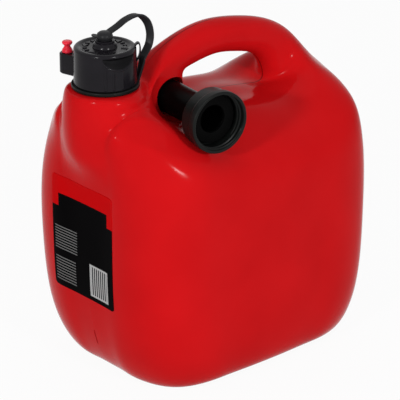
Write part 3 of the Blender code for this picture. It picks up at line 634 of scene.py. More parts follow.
def cageFaces():
    faces = []
    rings = ("base", "foot", "wall", "panel", "edge")
    for low, high in zip(rings, rings[1:]):
        for i in range(14):
            if i == 1 and low in ("wall", "panel"):
                continue
            faces.append((f"{low}{i}", f"{low}{i + 1}", f"{high}{i + 1}", f"{high}{i}"))
    for i in range(6):
        for j in range(2):
            faces.append((f"flat{i}_{j}", f"flat{i + 1}_{j}", f"flat{i + 1}_{j + 1}", f"flat{i}_{j + 1}"))
        faces.append((f"flat{i}_2", f"flat{i + 1}_2", f"base{5 + i}", f"base{4 + i}"))
    for j in range(2):
        faces.append((f"base{j + 1}", f"base{j}", f"flat0_{j}", f"flat0_{j + 1}"))
        faces.append((f"base{14 - j}", f"base{13 - j}", f"flat6_{j + 1}", f"flat6_{j}"))
    faces.append(("base2", "flat0_2", "base4", "base3"))
    faces.append(("base12", "base11", "base10", "flat6_2"))
    faces += [tuple(line.split()) for line in topFaces.strip().splitlines()]
    for k in range(1, 6):
        faces.append((f"crest{k}", f"upper{k}", f"upper{k + 1}", f"crest{k + 1}"))
        faces.append((f"upper{k}", f"side{k}", f"side{k + 1}", f"upper{k + 1}"))
    for k in range(2, 6):
        faces.append((f"side{k}", f"lower{k}", f"lower{k + 1}", f"side{k + 1}"))
        faces.append((f"lower{k}", f"under{k}", f"under{k + 1}", f"lower{k + 1}"))
    return faces


def surfacePlaces(places, faces):
    # where the smooth surface passes for each cage point, with the far half mirrored
    count = len(places)
    mirrored = {}
    both = list(places)
    for i, place in enumerate(places):
        if place.y == 0.0:
            mirrored[i] = i
        else:
            mirrored[i] = len(both)
            both.append(Vector((place.x, -place.y, place.z)))
    quads = faces + [[mirrored[i] for i in reversed(face)] for face in faces]
    beside = [set() for _ in both]
    across = [[] for _ in both]
    for quad in quads:
        sides = len(quad)
        for k, point in enumerate(quad):
            beside[point].update((quad[k - 1], quad[(k + 1) % sides]))
            others = [both[quad[(k + step) % sides]] for step in range(2, sides - 1)]
            across[point].append(sum(others, Vector()) / len(others))
    result = []
    for i in range(count):
        ways = len(beside[i])
        total = both[i] * ways * ways
        total += 4 * sum((both[j] for j in beside[i]), Vector())
        total += sum(across[i], Vector())
        result.append(total / (ways * (ways + 5)))
    return result


def tankCageMesh():
    # the named places lie on the surface, so the cage is eased outwards to meet them
    points = cagePoints()
    faces = cageFaces()
    names = sorted({name for face in faces for name in face})
    index = {name: i for i, name in enumerate(names)}
    faces = [[index[name] for name in face] for face in faces]
    wanted = [Vector(points[name]) for name in names]
    places = [place.copy() for place in wanted]
    for _ in range(3):
        reached = surfacePlaces(places, faces)
        for i, name in enumerate(names):
            if name.startswith("flat"):
                continue
            step = (wanted[i] - reached[i]) * 0.75
            if wanted[i].y == 0.0:
                step.y = 0.0
            places[i] += step
    mesh = bpy.data.meshes.new("tankCage")
    mesh.from_pydata(places, [], faces)
    return mesh


# Tank: the tunnel through the handle's front foot, where the spout is kept

tunnel = {
    "tubeRadius": 0.0118, "sideRoom": 0.0028, "headroom": 0.001, "offset": 0.0495, "rise": 0.0102,
    "flare": 0.0024, "reach": 0.026,
}

tunnelHalfWidth = tunnel["tubeRadius"] + tunnel["sideRoom"]
tunnelHalfHeight = tunnel["tubeRadius"] + tunnel["headroom"] / 2
tunnelX = neckX + tunnel["offset"]
spoutAxisHeight = gapFloor + tunnel["rise"]
tunnelZ = spoutAxisHeight + tunnel["headroom"] / 2 - fit["gap"]


def tunnelMesh():
    # oval, with room round the spout's tube, and wider at both mouths
    sections = []
    for step in range(9):
        share = 1.0 - step / 4
        flare = tunnel["flare"] * abs(share)
        outline = ellipse(tunnelHalfWidth + flare, tunnelHalfHeight + flare, 56)
        y = tunnel["reach"] * share
        sections.append([(tunnelX + x, y, tunnelZ + z) for x, z in outline])
    return loftMesh("tunnel", sections)


# Tank: the ledge beside the column is a soft ridge, and the corners below it are broad

ease = {
    # places from the neck's axis, the middle plane and the column's top
    "ledge": (
        (-0.0200, 0.0290, -0.0248), (-0.0173, 0.0294, -0.0203), (-0.0131, 0.0297, -0.0162),
        (-0.0079, 0.0310, -0.0135), (-0.0031, 0.0327, -0.0127), (0.0017, 0.0355, -0.0131),
    ),
    "corners": ((-0.0130, 0.0455, -0.0363), (0.0090, 0.0640, -0.0403)),
    "ledgeReach": 0.011, "cornerReach": 0.026, "lowest": 0.150, "offMiddle": 0.010,
    "steps": 30, "ridge": 0.0013, "ridgeWidth": 0.0038,
}


def easeShoulders(mesh):
    # local relaxing first, then a low swell along the ledge
    top = Vector((neckX, 0.0, columnTop))
    ledge = [top + Vector(place) for place in ease["ledge"]]
    corners = [top + Vector(place) for place in ease["corners"]]
    bm = bmesh.new()
    bm.from_mesh(mesh)
    moving = []
    for vertex in bm.verts:
        near = Vector((vertex.co.x, abs(vertex.co.y), vertex.co.z))
        if near.z < ease["lowest"] or near.y < ease["offMiddle"]:
            continue
        distance = distanceToLine(near, ledge)
        away = min((near - corner).length for corner in corners)
        weight = max(1 - distance / ease["ledgeReach"], 1 - away / ease["cornerReach"], 0.0)
        if weight > 0.0:
            moving.append((vertex, weight * weight * (3 - 2 * weight), distance))
    for _ in range(ease["steps"]):
        moves = []
        for vertex, weight, _ in moving:
            around = [edge.other_vert(vertex).co for edge in vertex.link_edges]
            middle = sum(around, Vector()) / len(around)
            moves.append((middle - vertex.co) * 0.5 * weight)
        for (vertex, _, _), move in zip(moving, moves):
            vertex.co += move
    bm.normal_update()
    swells = []
    for vertex, _, distance in moving:
        swells.append(vertex.normal * ease["ridge"] * math.exp(-(distance / ease["ridgeWidth"]) ** 2))
    for (vertex, _, _), move in zip(moving, swells):
        vertex.co += move
    bm.to_mesh(mesh)
    bm.free()


# Tank: the short slit that the mould's pinched seam leaves low on the front end

notch = {"height": 0.031, "length": 0.0125, "width": 0.0011, "depth": 0.0012}


def frontPlace(skin, y, height):
    # the place on the front end wall, and the way it faces
    hit, normal, _, _ = skin.ray_cast(Vector((frontX - 0.05, y, height)), Vector((1.0, 0.0, 0.0)))
    return hit, normal


def notchMesh(skin):
    low = frontPlace(skin, 0.0, notch["height"] - notch["length"] / 2)[0]
    high = frontPlace(skin, 0.0, notch["height"] + notch["length"] / 2)[0]
    lean = math.atan2(high.x - low.x, high.z - low.z)
    place = Matrix.Translation((low + high) / 2) @ Matrix.Rotation(lean, 4, "Y")
    size = Matrix.Diagonal((notch["depth"] * 2, notch["width"], notch["length"], 1.0))
    bm = bmesh.new()
    bmesh.ops.create_cube(bm, size=1.0, matrix=place @ size)
    return meshFrom(bm, "notch")


def buildTank():
    # the smooth skin over the mirrored cage, with the tunnel and the slit cut out; gives back the uncut skin
    skin = addPiece("tankSkin", tankCageMesh(), red, "tank", ["tank_shell"])
    mirror = skin.modifiers.new("halves", "MIRROR")
    mirror.use_axis = (False, True, False)
    mirror.use_clip = True
    mirror.merge_threshold = 0.00001
    smooth = skin.modifiers.new("smooth", "SUBSURF")
    smooth.levels = 3
    smooth.render_levels = 3
    settle(skin)
    easeShoulders(skin.data)
    uncut = BVHTree.FromObject(skin, bpy.context.evaluated_depsgraph_get())
    tunnelTool = addObject("tunnelTool", tunnelMesh())
    boolean(skin, "DIFFERENCE", tunnelTool)
    notchTool = addObject("notchTool", notchMesh(uncut))
    boolean(skin, "DIFFERENCE", notchTool)
    settle(skin, [tunnelTool, notchTool])
    keepEdges(skin, 40.0)
    return uncut


uncutSkin = buildTank()
print("tank built")


# Neck: the threaded mouth on the column, moulded with the tank

neck = {
    "radius": 0.0172, "boreRadius": 0.0149, "height": 0.0217, "root": 0.004, "edge": 0.0008,
    "threadDrop": 0.0035, "threadHeight": 0.0014, "threadLead": 0.005, "threadTurns": 1.5,
}

neckTop = columnTop + neck["height"]
neckPlace = Matrix.Translation((neckX, 0.0, 0.0))


def buildNeck():
    foot = columnTop - neck["root"]
    outline = [
        (neck["radius"], neckTop), (neck["radius"], foot), (neck["boreRadius"], foot),
        (neck["boreRadius"], neckTop),
    ]
    mouth = turnedMesh("neckFinish", rounded(outline, neck["edge"]), place=neckPlace)
    start = neckTop - neck["threadDrop"] - neck["threadTurns"] * neck["threadLead"]
    thread = threadMesh("neckThread", neck["radius"], False, start, neck["threadTurns"], neck["threadLead"],
                        neck["threadHeight"], neckPlace)
    keepEdges(addPiece("neckFinish", joined("neckFinish", [mouth, thread]), red, "tank", ["neck_finish"]))


buildNeck()
print("neck built")


# Label: a printed film on the front end wall

label = {"low": 0.063, "high": 0.15, "width": 0.0675, "shift": 0.005, "cornerRadius": 0.002}
# the print's fields, each from and to across the wall, then in height; the lower ink has the full width
labelPrint = {
    "colour": "c4080c", "ink": "060506", "rule": "6c6c6c", "pale": "b4b4b4", "gloss": 0.24, "sheen": 0.006,
    "inkFields": ((-1.0, 1.0, 0.0, 0.1262), (-0.0225, 0.0316, 0.1, 0.1362)),
    "ruledFields": ((0.012, 0.036, 0.093, 0.112), (0.014, 0.036, 0.068, 0.088)),
    "rules": 9, "ruleShare": 0.38,
    "paleField": (-0.0225, -0.0020, 0.0665, 0.0915), "barField": (-0.0212, -0.0033, 0.0680, 0.0900),
    "barPitch": 0.0023,
}


def printedFilm():
    # polypropylene film, printed and varnished: even gloss, crisp colour edges, no grain
    material, tree, shader = newMaterial("printed polypropylene film")
    place = addNode(tree, "ShaderNodeTexCoord")
    axes = addNode(tree, "ShaderNodeSeparateXYZ", links={"Vector": place.outputs["Object"]})

    def inside(y0, y1, z0, z1):
        # 1 inside the rectangle, 0 outside
        result = None
        for name, low, high in (("Y", y0, y1), ("Z", z0, z1)):
            for operation, limit in (("GREATER_THAN", low), ("LESS_THAN", high)):
                step = addNode(tree, "ShaderNodeMath", {"operation": operation, 1: limit},
                               {0: axes.outputs[name]})
                if result is None:
                    result = step
                else:
                    result = addNode(tree, "ShaderNodeMath", {"operation": "MULTIPLY"},
                                     {0: result.outputs[0], 1: step.outputs[0]})
        return result.outputs[0]

    def striped(axis, start, pitch, test, share, field):
        # 1 on the stripes inside the field, 0 beside them
        steps = (
            {"operation": "SUBTRACT", 1: start}, {"operation": "DIVIDE", 1: pitch},
            {"operation": "FRACT"}, {"operation": test, 1: share},
        )
        stripe = axes.outputs[axis]
        for settings in steps:
            stripe = addNode(tree, "ShaderNodeMath", settings, {0: stripe}).outputs[0]
        both = addNode(tree, "ShaderNodeMath", {"operation": "MULTIPLY"}, {0: stripe, 1: inside(*field)})
        return both.outputs[0]

    def layer(under, colour, cover):
        mix = addNode(tree, "ShaderNodeMix", {"data_type": "RGBA"}, {"Factor": cover})
        if isinstance(under, tuple):
            mix.inputs[6].default_value = under
        else:
            tree.links.new(under, mix.inputs[6])
        mix.inputs[7].default_value = linear(colour)
        return mix.outputs[2]

    colour = linear(labelPrint["colour"])
    for field in labelPrint["inkFields"]:
        colour = layer(colour, labelPrint["ink"], inside(*field))
    for field in labelPrint["ruledFields"]:
        pitch = (field[3] - field[2]) / labelPrint["rules"]
        rules = striped("Z", field[2], pitch, "LESS_THAN", labelPrint["ruleShare"], field)
        colour = layer(colour, labelPrint["rule"], rules)
    # a pale field of upright bars in the lower corner
    colour = layer(colour, labelPrint["pale"], inside(*labelPrint["paleField"]))
    bars = striped("Y", 0.0, labelPrint["barPitch"], "GREATER_THAN", 0.5, labelPrint["barField"])
    colour = layer(colour, labelPrint["ink"], bars)
    tree.links.new(colour, shader.inputs["Base Color"])
    shader.inputs["Roughness"].default_value = labelPrint["gloss"]
    shader.inputs["IOR"].default_value = 1.49
    shader.inputs["Specular IOR Level"].default_value = labelPrint["sheen"]
    return material


def buildLabel():
    # a grid of points laid on the wall, with round corners
    rows, columns = 58, 44
    halfWidth, halfHeight = label["width"] / 2, (label["high"] - label["low"]) / 2
    middle = (label["low"] + label["high"]) / 2
    corner = label["cornerRadius"]
    bm = bmesh.new()
    grid = []
    for i in range(rows + 1):
        v = -halfHeight + 2 * halfHeight * i / rows
        depth = max(0.0, corner - (halfHeight - abs(v)))
        reach = halfWidth - corner + math.sqrt(max(0.0, corner ** 2 - depth ** 2))
        row = []
        for j in range(columns + 1):
            y = label["shift"] + reach * (2 * j / columns - 1)
            hit, normal = frontPlace(uncutSkin, y, middle + v)
            row.append(bm.verts.new(hit + normal * fit["gap"]))
        grid.append(row)
    for row, above in zip(grid, grid[1:]):
        for a, b, c, d in zip(row, row[1:], above[1:], above):
            bm.faces.new((a, b, c, d))
    bmesh.ops.recalc_face_normals(bm, faces=bm.faces)
    if sum(face.normal.x for face in bm.faces) > 0:
        bmesh.ops.reverse_faces(bm, faces=bm.faces)
    mesh = meshFrom(bm, "labelFilm")
    film = addPiece("labelFilm", mesh, printedFilm(), "tank", ["front_label"])
    # thick enough to reach just under the wall's surface, so no gap shows along its edge
    thick = film.modifiers.new("thickness", "SOLIDIFY")
    thick.thickness = fit["gap"] * 1.2
    thick.offset = -1.0
    settle(film)
    keepEdges(film)


buildLabel()
print("label built")


# Screw cap, over the neck and the tether's ring

ring = {"radius": 0.0239, "thickness": 0.0026, "edge": 0.0007}
cap = {
    "radius": 0.0221, "draft": 0.0003, "wall": 0.0019, "height": 0.0266, "plate": 0.0044, "foot": 0.0004,
    "rimWidth": 0.0022, "edgeRound": 0.0022, "dishDepth": 0.0014, "dishFilling": 0.0004, "dishRound": 0.0009,
    "hubRadius": 0.0086, "hubTopRadius": 0.008, "hubHeight": 0.0055, "hubBoreRadius": 0.003,
    "hubCollar": 0.0012, "threadStart": 0.004, "threadHeight": 0.0009,
}

ringBottom = columnTop + fit["gap"]
ringTop = ringBottom + ring["thickness"]
capBottom = ringTop + fit["gap"]
capTop = capBottom + cap["height"]
capRim = cap["radius"] - cap["draft"]
capBoreRadius = cap["radius"] - cap["wall"]
capDish = capTop - cap["dishDepth"]
capDeck = capDish + cap["dishFilling"]
capCeiling = capDish - cap["plate"]
hubTop = capDish + cap["hubHeight"]


def capOutline():
    rim, edge, deck = capRim, cap["edgeRound"], capDeck
    dishEdge = rim - cap["rimWidth"] - edge
    # the two outer points only lead the rounding of the dish's corners, so their own arcs are dropped
    outline = [
        (0.004, deck - 0.001), (cap["hubRadius"] + 0.0008, deck), (dishEdge - 0.0008, deck),
        (dishEdge + 0.0008, capTop - 0.0001), (rim - edge, capTop),
    ]
    outline = rounded(outline, cap["dishRound"])[5:-5]
    for step in range(9):
        angle = math.radians(90 - step * 11.25)
        outline.append((rim - edge + edge * math.cos(angle), capTop - edge + edge * math.sin(angle)))
    outline += [
        (cap["radius"], capBottom + cap["foot"]), (cap["radius"] - cap["foot"], capBottom),
        (capBoreRadius, capBottom), (capBoreRadius, capCeiling),
        (cap["hubBoreRadius"], capCeiling), (cap["hubBoreRadius"], hubTop),
    ]
    # the hub: a narrower collar under the button, a straight wall and a flared foot
    collar = cap["hubTopRadius"] - cap["hubCollar"]
    outline += [
        (collar - 0.0003, hubTop), (collar, hubTop - 0.0003), (collar, hubTop - 0.0017),
        (cap["hubTopRadius"] - 0.0006, hubTop - 0.0020), (cap["hubTopRadius"], hubTop - 0.0026),
        (cap["hubRadius"] - 0.0003, deck + 0.0008), (cap["hubRadius"], deck + 0.0003),
    ]
    return outline


# Cap: the hollow for the thumb, with a bead along its lower lip

scoop = {
    "first": -133.0, "last": -66.0, "below": 0.0024, "depth": 0.0029, "height": 0.0072, "least": 0.0022,
    "clear": 0.004, "proud": 0.0002, "bead": 0.0005,
    # shares of the depth, with drops below the upper edge, then with shares of the way to the lower lip
    "overhang": ((0.45, 0.0003), (1.0, 0.0010), (0.72, 0.0015), (0.55, 0.0021)),
    "slope": ((0.42, 0.5), (0.16, 0.82)),
}

scoopTop = capTop - scoop["below"]


def scoopLine(share):
    # along the scoop: the bearing, how far it has swelled, and the height of its lower lip
    turn = math.radians(scoop["first"] + (scoop["last"] - scoop["first"]) * share)
    swell = math.sin(math.pi * (0.03 + 0.94 * share)) ** 0.7
    return turn, swell, scoopTop - scoop["least"] - scoop["height"] * swell


def scoopMesh():
    # an overhung upper edge, then a slope out to the curved lower lip
    radius, clear, proud = cap["radius"], scoop["clear"], scoop["proud"]
    count = 27
    sections = []
    for i in range(count):
        turn, swell, lip = scoopLine(i / (count - 1))
        depth = scoop["depth"] * swell
        outline = [(radius + clear, scoopTop), (radius + proud, scoopTop)]
        for part, drop in scoop["overhang"]:
            outline.append((radius - depth * part, scoopTop - drop))
        for part, down in scoop["slope"]:
            outline.append((radius - depth * part, scoopTop * (1 - down) + lip * down))
        outline += [(radius + proud, lip), (radius + clear, lip)]
        sections.append([(neckX + r * math.cos(turn), r * math.sin(turn), z) for r, z in outline])
    mesh = loftMesh("scoop", sections)
    # the cut faces take the cap's second material, whose darker black is painted shade in the scoop
    mesh.materials.append(capBlack)
    mesh.materials.append(scoopShadeBlack)
    for face in mesh.polygons:
        face.material_index = 1
    return mesh


def scoopLipMesh():
    count = 25
    sections = []
    for i in range(count):
        turn, _, lip = scoopLine(0.02 + 0.96 * i / (count - 1))
        bead = scoop["bead"] * math.sin(math.pi * (0.04 + 0.92 * i / (count - 1))) ** 0.5
        outline = []
        for step in range(8):
            angle = math.tau * step / 8
            r = cap["radius"] - 0.0001 + bead * math.cos(angle)
            z = lip + bead * 1.3 * math.sin(angle)
            outline.append((neckX + r * math.cos(turn), r * math.sin(turn), z))
        sections.append(outline)
    return loftMesh("scoopLip", sections)


# Cap: the lug that holds the vent stopper, and the stopper

vent = {
    "distance": 0.0326, "bearing": 105.0, "lugRadius": 0.0056, "lugHeight": 0.0148, "lugBevel": 0.0007,
    "boreRadius": 0.0019, "boreDepth": 0.009, "discRadius": 0.0037, "height": 0.0079, "stemLength": 0.007,
}

lugBottom = capBottom + fit["gap"]
lugTop = lugBottom + vent["lugHeight"]
ventTurn = math.radians(vent["bearing"])
ventX = neckX + vent["distance"] * math.cos(ventTurn)
ventY = vent["distance"] * math.sin(ventTurn)
ventPlace = Matrix.Translation((ventX, ventY, 0.0))


def lugMesh():
    # rooted in the skirt, with a round end and bevelled faces
    across = Vector((-math.sin(ventTurn), math.cos(ventTurn), 0.0))
    out = Vector((math.cos(ventTurn), math.sin(ventTurn), 0.0))
    end = out * vent["distance"]
    root = out * (cap["radius"] - cap["wall"] * 0.6)
    bevel = vent["lugBevel"]
    sections = []
    for z, inset in ((lugBottom, bevel), (lugBottom + bevel, 0.0), (lugTop - bevel, 0.0), (lugTop, bevel)):
        half = vent["lugRadius"] - inset
        outline = [root - across * half]
        for step in range(17):
            angle = math.radians(-90 + step * 11.25)
            outline.append(end + out * half * math.cos(angle) + across * half * math.sin(angle))
        outline.append(root + across * half)
        sections.append([(neckX + point.x, point.y, z) for point in outline])
    return loftMesh("lug", sections)


def ventBoreMesh():
    low, high = lugTop - vent["boreDepth"], lugTop + 0.002
    outline = [(0.0, high), (vent["boreRadius"], high), (vent["boreRadius"], low), (0.0, low)]
    return turnedMesh("bore", outline, 40, ventPlace)


def buildVentStopper():
    # a button to pull by, a waist and a collar, on a stem in the lug's bore
    seat = lugTop + fit["gap"]
    stem = vent["boreRadius"] - fit["gap"]
    disc = vent["discRadius"]
    top, low = seat + vent["height"], seat - vent["stemLength"]
    profile = [
        (0.0, top), (disc * 0.80, top), (disc * 0.97, top - 0.0005), (disc, top - 0.0012),
        (disc * 0.9, top - 0.0021), (disc * 0.62, top - 0.0029), (disc * 0.56, top - 0.0036),
        (disc * 0.70, top - 0.0046), (disc * 0.95, seat + 0.0019), (disc * 1.05, seat + 0.0008),
        (disc * 1.03, seat), (stem, seat), (stem, low), (0.0, low),
    ]
    stopper = turnedMesh("ventStopper", profile, 48, ventPlace)
    keepEdges(addPiece("ventStopper", stopper, stopperRed, "vent", ["vent_stopper"]), 50.0)


# Cap: the low eye beside the strap, a strip bent out over the rim

loop = {
    "bearing": -34.0, "width": 0.0048, "thickness": 0.0009,
    # its middle line, out from the skirt and up from the rim
    "route": (
        (-0.0016, -0.0012), (-0.0004, 0.0004), (0.0008, 0.0009), (0.0018, 0.0002), (0.0022, -0.0020),
        (0.0022, -0.0050), (0.0017, -0.0080), (0.0006, -0.0104), (-0.0008, -0.0120),
    ),
}


def loopMesh():
    turn = math.radians(loop["bearing"])
    out = Vector((math.cos(turn), math.sin(turn), 0.0))
    across = Vector((-math.sin(turn), math.cos(turn), 0.0))
    route = [Vector((cap["radius"] + away, 0.0, capTop + up)) for away, up in loop["route"]]
    route = smoothRoute(route, 5)
    halfWidth, halfThickness = loop["width"] / 2, loop["thickness"] / 2
    # a flat strip with bevelled edges, in shares of its half width and half thickness
    half = ((1, 0.6), (0.85, 1), (-0.85, 1), (-1, 0.6))
    strip = half + tuple((-x, -y) for x, y in half)
    sections = []
    for i, place in enumerate(route):
        ahead = route[min(i + 1, len(route) - 1)] - route[max(i - 1, 0)]
        side = Vector((-ahead.z, 0.0, ahead.x)).normalized()
        outline = []
        for x, y in strip:
            point = place + side * halfThickness * y
            outline.append(Vector((neckX, 0.0, point.z)) + out * point.x + across * halfWidth * x)
        sections.append(outline)
    return loftMesh("capLoop", sections)


# Cap: the low upright ribs on the skirt, under the scoop

ribs = {
    "foot": 0.0006, "proud": 0.0005,
    # bearing, distance of the upper end below the rim, and width
    "each": ((-128.0, 0.0095, 0.0022), (-113.0, 0.0125, 0.0016), (-95.0, 0.0125, 0.0016)),
}


def ribMesh(bearing, drop, width):
    turn = math.radians(bearing)
    low, high = capBottom + ribs["foot"], capTop - drop
    root = cap["radius"] - 0.0006
    sections = []
    for z, share in ((low, 0.1), (low + 0.001, 1.0), (high - 0.002, 1.0), (high, 0.1)):
        outline = []
        for step in range(9):
            x = width * (step / 8 - 0.5)
            swell = ribs["proud"] * share * math.cos(math.pi * (step / 8 - 0.5)) ** 0.6
            outline.append((cap["radius"] - 0.0001 + swell, x))
        outline += [(root, width * 0.5), (root, -width * 0.5)]
        sections.append([
            (neckX + r * math.cos(turn) - x * math.sin(turn), r * math.sin(turn) + x * math.cos(turn), z)
            for r, x in outline
        ])
    return loftMesh("rib", sections)


# Cap: raised marks round the dished top, plain arrowheads and bars

marks = {
    "pitch": 20, "clear": (-100, -60), "barWidth": 0.0012, "barLengths": (0.0034, 0.0044),
    "arrow": ((-0.0026, -0.0018), (0.0026, -0.0018), (0.0, 0.0034)),
    "root": 0.0004, "height": 0.0005, "taper": 0.85,
}


def markMesh(bearing):
    if bearing % 60 == 10:
        corners = marks["arrow"]
    else:
        x, y = marks["barLengths"][0 if bearing % 40 else 1] / 2, marks["barWidth"] / 2
        corners = [(-x, -y), (x, -y), (x, y), (-x, y)]
    bm = bmesh.new()
    low = [bm.verts.new((x, y, -marks["root"])) for x, y in corners]
    high = [bm.verts.new((x * marks["taper"], y * marks["taper"], marks["height"])) for x, y in corners]
    bm.faces.new(list(reversed(low)))
    bm.faces.new(high)
    for i in range(len(corners)):
        j = (i + 1) % len(corners)
        bm.faces.new((low[i], low[j], high[j], high[i]))
    middle = (cap["hubRadius"] + capRim - cap["rimWidth"]) / 2 - 0.0001
    place = neckPlace @ Matrix.Rotation(math.radians(bearing), 4, "Z")
    place = place @ Matrix.Translation((middle, 0.0, capDeck + 0.0002))
    bmesh.ops.transform(bm, matrix=place, verts=bm.verts)
    return meshFrom(bm, "mark")


def buildCap():
    shell = addPiece("screwCap", turnedMesh("capShell", capOutline(), place=neckPlace), capBlack, "cap",
                     ["screw_cap"])
    # the second slot: the darker black that paints the shade in the thumb scoop
    shell.data.materials.append(scoopShadeBlack)
    scoopTool = addObject("scoopTool", scoopMesh())
    boolean(shell, "DIFFERENCE", scoopTool)
    lugTool = addObject("lugTool", lugMesh())
    boolean(shell, "UNION", lugTool)
    boreTool = addObject("boreTool", ventBoreMesh())
    boolean(shell, "DIFFERENCE", boreTool)
    settle(shell, [scoopTool, lugTool, boreTool])
    keepEdges(shell, 34.0)
    keepEdges(addPiece("capLoop", loopMesh(), capBlack, "cap"), 50.0)
    keepEdges(addPiece("scoopLip", scoopLipMesh(), capBlack, "cap"), 70.0)
    ribMeshes = [ribMesh(*each) for each in ribs["each"]]
    keepEdges(addPiece("capRibs", joined("capRibs", ribMeshes), capBlack, "cap"), 60.0)
    first, last = marks["clear"]
    bearings = [b for b in range(-170, 190, marks["pitch"]) if not first < b < last]
    markMeshes = [markMesh(bearing) for bearing in bearings]
    keepEdges(addPiece("capRaisedMarks", joined("capRaisedMarks", markMeshes), capBlack, "cap"))
    # the thread inside, seen when the can is taken apart
    thread = threadMesh("capThread", capBoreRadius, True, capBottom + cap["threadStart"],
                        neck["threadTurns"], neck["threadLead"], cap["threadHeight"], neckPlace)
    keepEdges(addPiece("capThread", thread, capBlack, "cap"))


# Cap: the flat seal between the neck's mouth and the cap's ceiling

capSeal = {"radius": 0.0178, "boreRadius": 0.014, "thickness": 0.0016, "edge": 0.0003}


def buildCapSeal():
    low = neckTop + fit["gap"]
    high = low + capSeal["thickness"]
    outline = [
        (capSeal["boreRadius"], high), (capSeal["radius"], high), (capSeal["radius"], low),
        (capSeal["boreRadius"], low),
    ]
    seal = turnedMesh("capSeal", rounded(outline, capSeal["edge"]), place=neckPlace)
    # the seal's deeper black is painted shade inside the cap
    keepEdges(addPiece("capSeal", seal, shadedSealRubber, "gasket", ["cap_gasket"]))


buildCap()
buildCapSeal()
buildVentStopper()
print("cap built")


# Tether: the ring on the neck, the strap and the button

tether = {
    "width": 0.0056, "thickness": 0.0018, "buttonRadius": 0.0057, "buttonHeight": 0.006,
    "stemRadius": 0.0026, "stemHeadRadius": 0.0041, "stemHeadHeight": 0.0026,
    "pullReach": 0.0100, "pullBearing": 114.0, "pullThickness": 0.0008,
    # the strap's route, in shares of the ring's radius and of the height from the ring to the button's top
    "route": (
        (1.012, -0.410, 0.26), (1.055, -0.415, 0.38), (1.180, -0.365, 0.46), (1.364, -0.335, 0.60),
        (1.435, -0.310, 0.80), (1.360, -0.276, 1.02), (1.150, -0.234, 1.17), (0.920, -0.192, 1.20),
        (0.640, -0.134, 1.145), (0.400, -0.067, 1.045),
    ),
    "rootBearing": -22.0,
}

buttonBottom = hubTop + fit["gap"]
buttonTop = buttonBottom + tether["buttonHeight"]


def strapRoute():
    # the strap's middle line from the ring, up behind the cap, over and down to the button
    turn = math.radians(tether["rootBearing"])
    radius = ring["radius"]
    reach = radius - 0.0009
    height = buttonTop - ringTop
    route = [Vector((reach * math.cos(turn), reach * math.sin(turn), ringTop - 0.0008))]
    for x, y, share in tether["route"]:
        route.append(Vector((x * radius, y * radius, ringTop + height * share)))
    route.append(Vector((tether["buttonRadius"] * 0.60, 0.0, buttonTop - 0.0016)))
    return smoothRoute(route, 8)


def strapTurn(share):
    # the bearing of the strap's width: along the ring first, turning over the top, flat at the button
    bearings = ((0.0, -105.0), (0.18, -85.0), (0.34, -55.0), (0.55, -50.0), (0.75, -78.0), (1.0, -84.0))
    for (start, first), (end, last) in zip(bearings, bearings[1:]):
        if share <= end:
            return first + (last - first) * (share - start) / (end - start)
    return bearings[-1][1]


def strapMesh():
    places = strapRoute()
    count = len(places)
    halfWidth, halfThickness = tether["width"] / 2, tether["thickness"] / 2
    corner = tether["thickness"] * 0.3
    sections = []
    for i, place in enumerate(places):
        ahead = places[min(i + 1, count - 1)] - places[max(i - 1, 0)]
        ahead.normalize()
        turn = math.radians(strapTurn(i / (count - 1)))
        wide = Vector((math.cos(turn), math.sin(turn), 0.0))
        wide = (wide - ahead * wide.dot(ahead)).normalized()
        thick = ahead.cross(wide)
        outline = []
        for sx, sy, start in ((1, 1, 0), (-1, 1, 90), (-1, -1, 180), (1, -1, 270)):
            for step in range(4):
                angle = math.radians(start + step * 30)
                x = sx * (halfWidth - corner) + corner * math.cos(angle)
                y = sy * (halfThickness - corner) + corner * math.sin(angle)
                outline.append(Vector((neckX, 0.0, 0.0)) + place + wide * x + thick * y)
        sections.append(outline)
    return loftMesh("strap", sections)


def buttonMesh():
    # domed, on a stem that goes through the hub and ends in a barbed head
    top, bottom, radius = buttonTop, buttonBottom, tether["buttonRadius"]
    stem = tether["stemRadius"]
    low = capCeiling - fit["gap"]
    tip = low - tether["stemHeadHeight"]
    return turnedMesh("tetherButton", [
        (0.0, top), (radius * 0.35, top - 0.0001), (radius * 0.68, top - 0.0006),
        (radius * 0.90, top - 0.0016), (radius, top - 0.0030), (radius, bottom + 0.0012),
        (radius * 0.92, bottom + 0.0008), (radius * 0.90, bottom), (stem, bottom), (stem, low),
        (tether["stemHeadRadius"], low), (stem * 0.8, tip), (0.0, tip),
    ], 64, neckPlace)


def pullMesh():
    # the thin pull tab on the button's far side
    root = tether["buttonRadius"] * 0.7
    sections = []
    for share, half in ((0.0, 0.0022), (0.35, 0.0024), (0.7, 0.0021), (0.92, 0.0015), (1.0, 0.0008)):
        reach = root + (tether["pullReach"] - root) * share
        low = buttonBottom + 0.0008 + 0.0006 * share
        high = low + tether["pullThickness"]
        sections.append([(reach, half, low), (reach, -half, low), (reach, -half, high), (reach, half, high)])
    mesh = loftMesh("tetherPull", sections)
    mesh.transform(neckPlace @ Matrix.Rotation(math.radians(tether["pullBearing"]), 4, "Z"))
    return mesh


def buildTether():
    inner = neck["radius"] + fit["gap"]
    outline = [(inner, ringTop), (ring["radius"], ringTop), (ring["radius"], ringBottom), (inner, ringBottom)]
    ringMesh = turnedMesh("neckRing", rounded(outline, ring["edge"]), place=neckPlace)
    keepEdges(addPiece("tetherRing", ringMesh, grainedBlack, "tank", ["cap_tether"]), 60.0)
    strap = addObject("tetherStrap", strapMesh())
    strap.data.materials.append(strapBlack)
    keepEdges(strap, 60.0)
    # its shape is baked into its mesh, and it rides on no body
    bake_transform(strap)
    keepEdges(addPiece("tetherButton", buttonMesh(), strapBlack, "gasket"), 50.0)
    keepEdges(addPiece("tetherPull", pullMesh(), strapBlack, "gasket"), 40.0)


buildTether()
print("tether built")


# Pouring spout: the tube with its flange and seal, and the nut with its mouth towards -Y

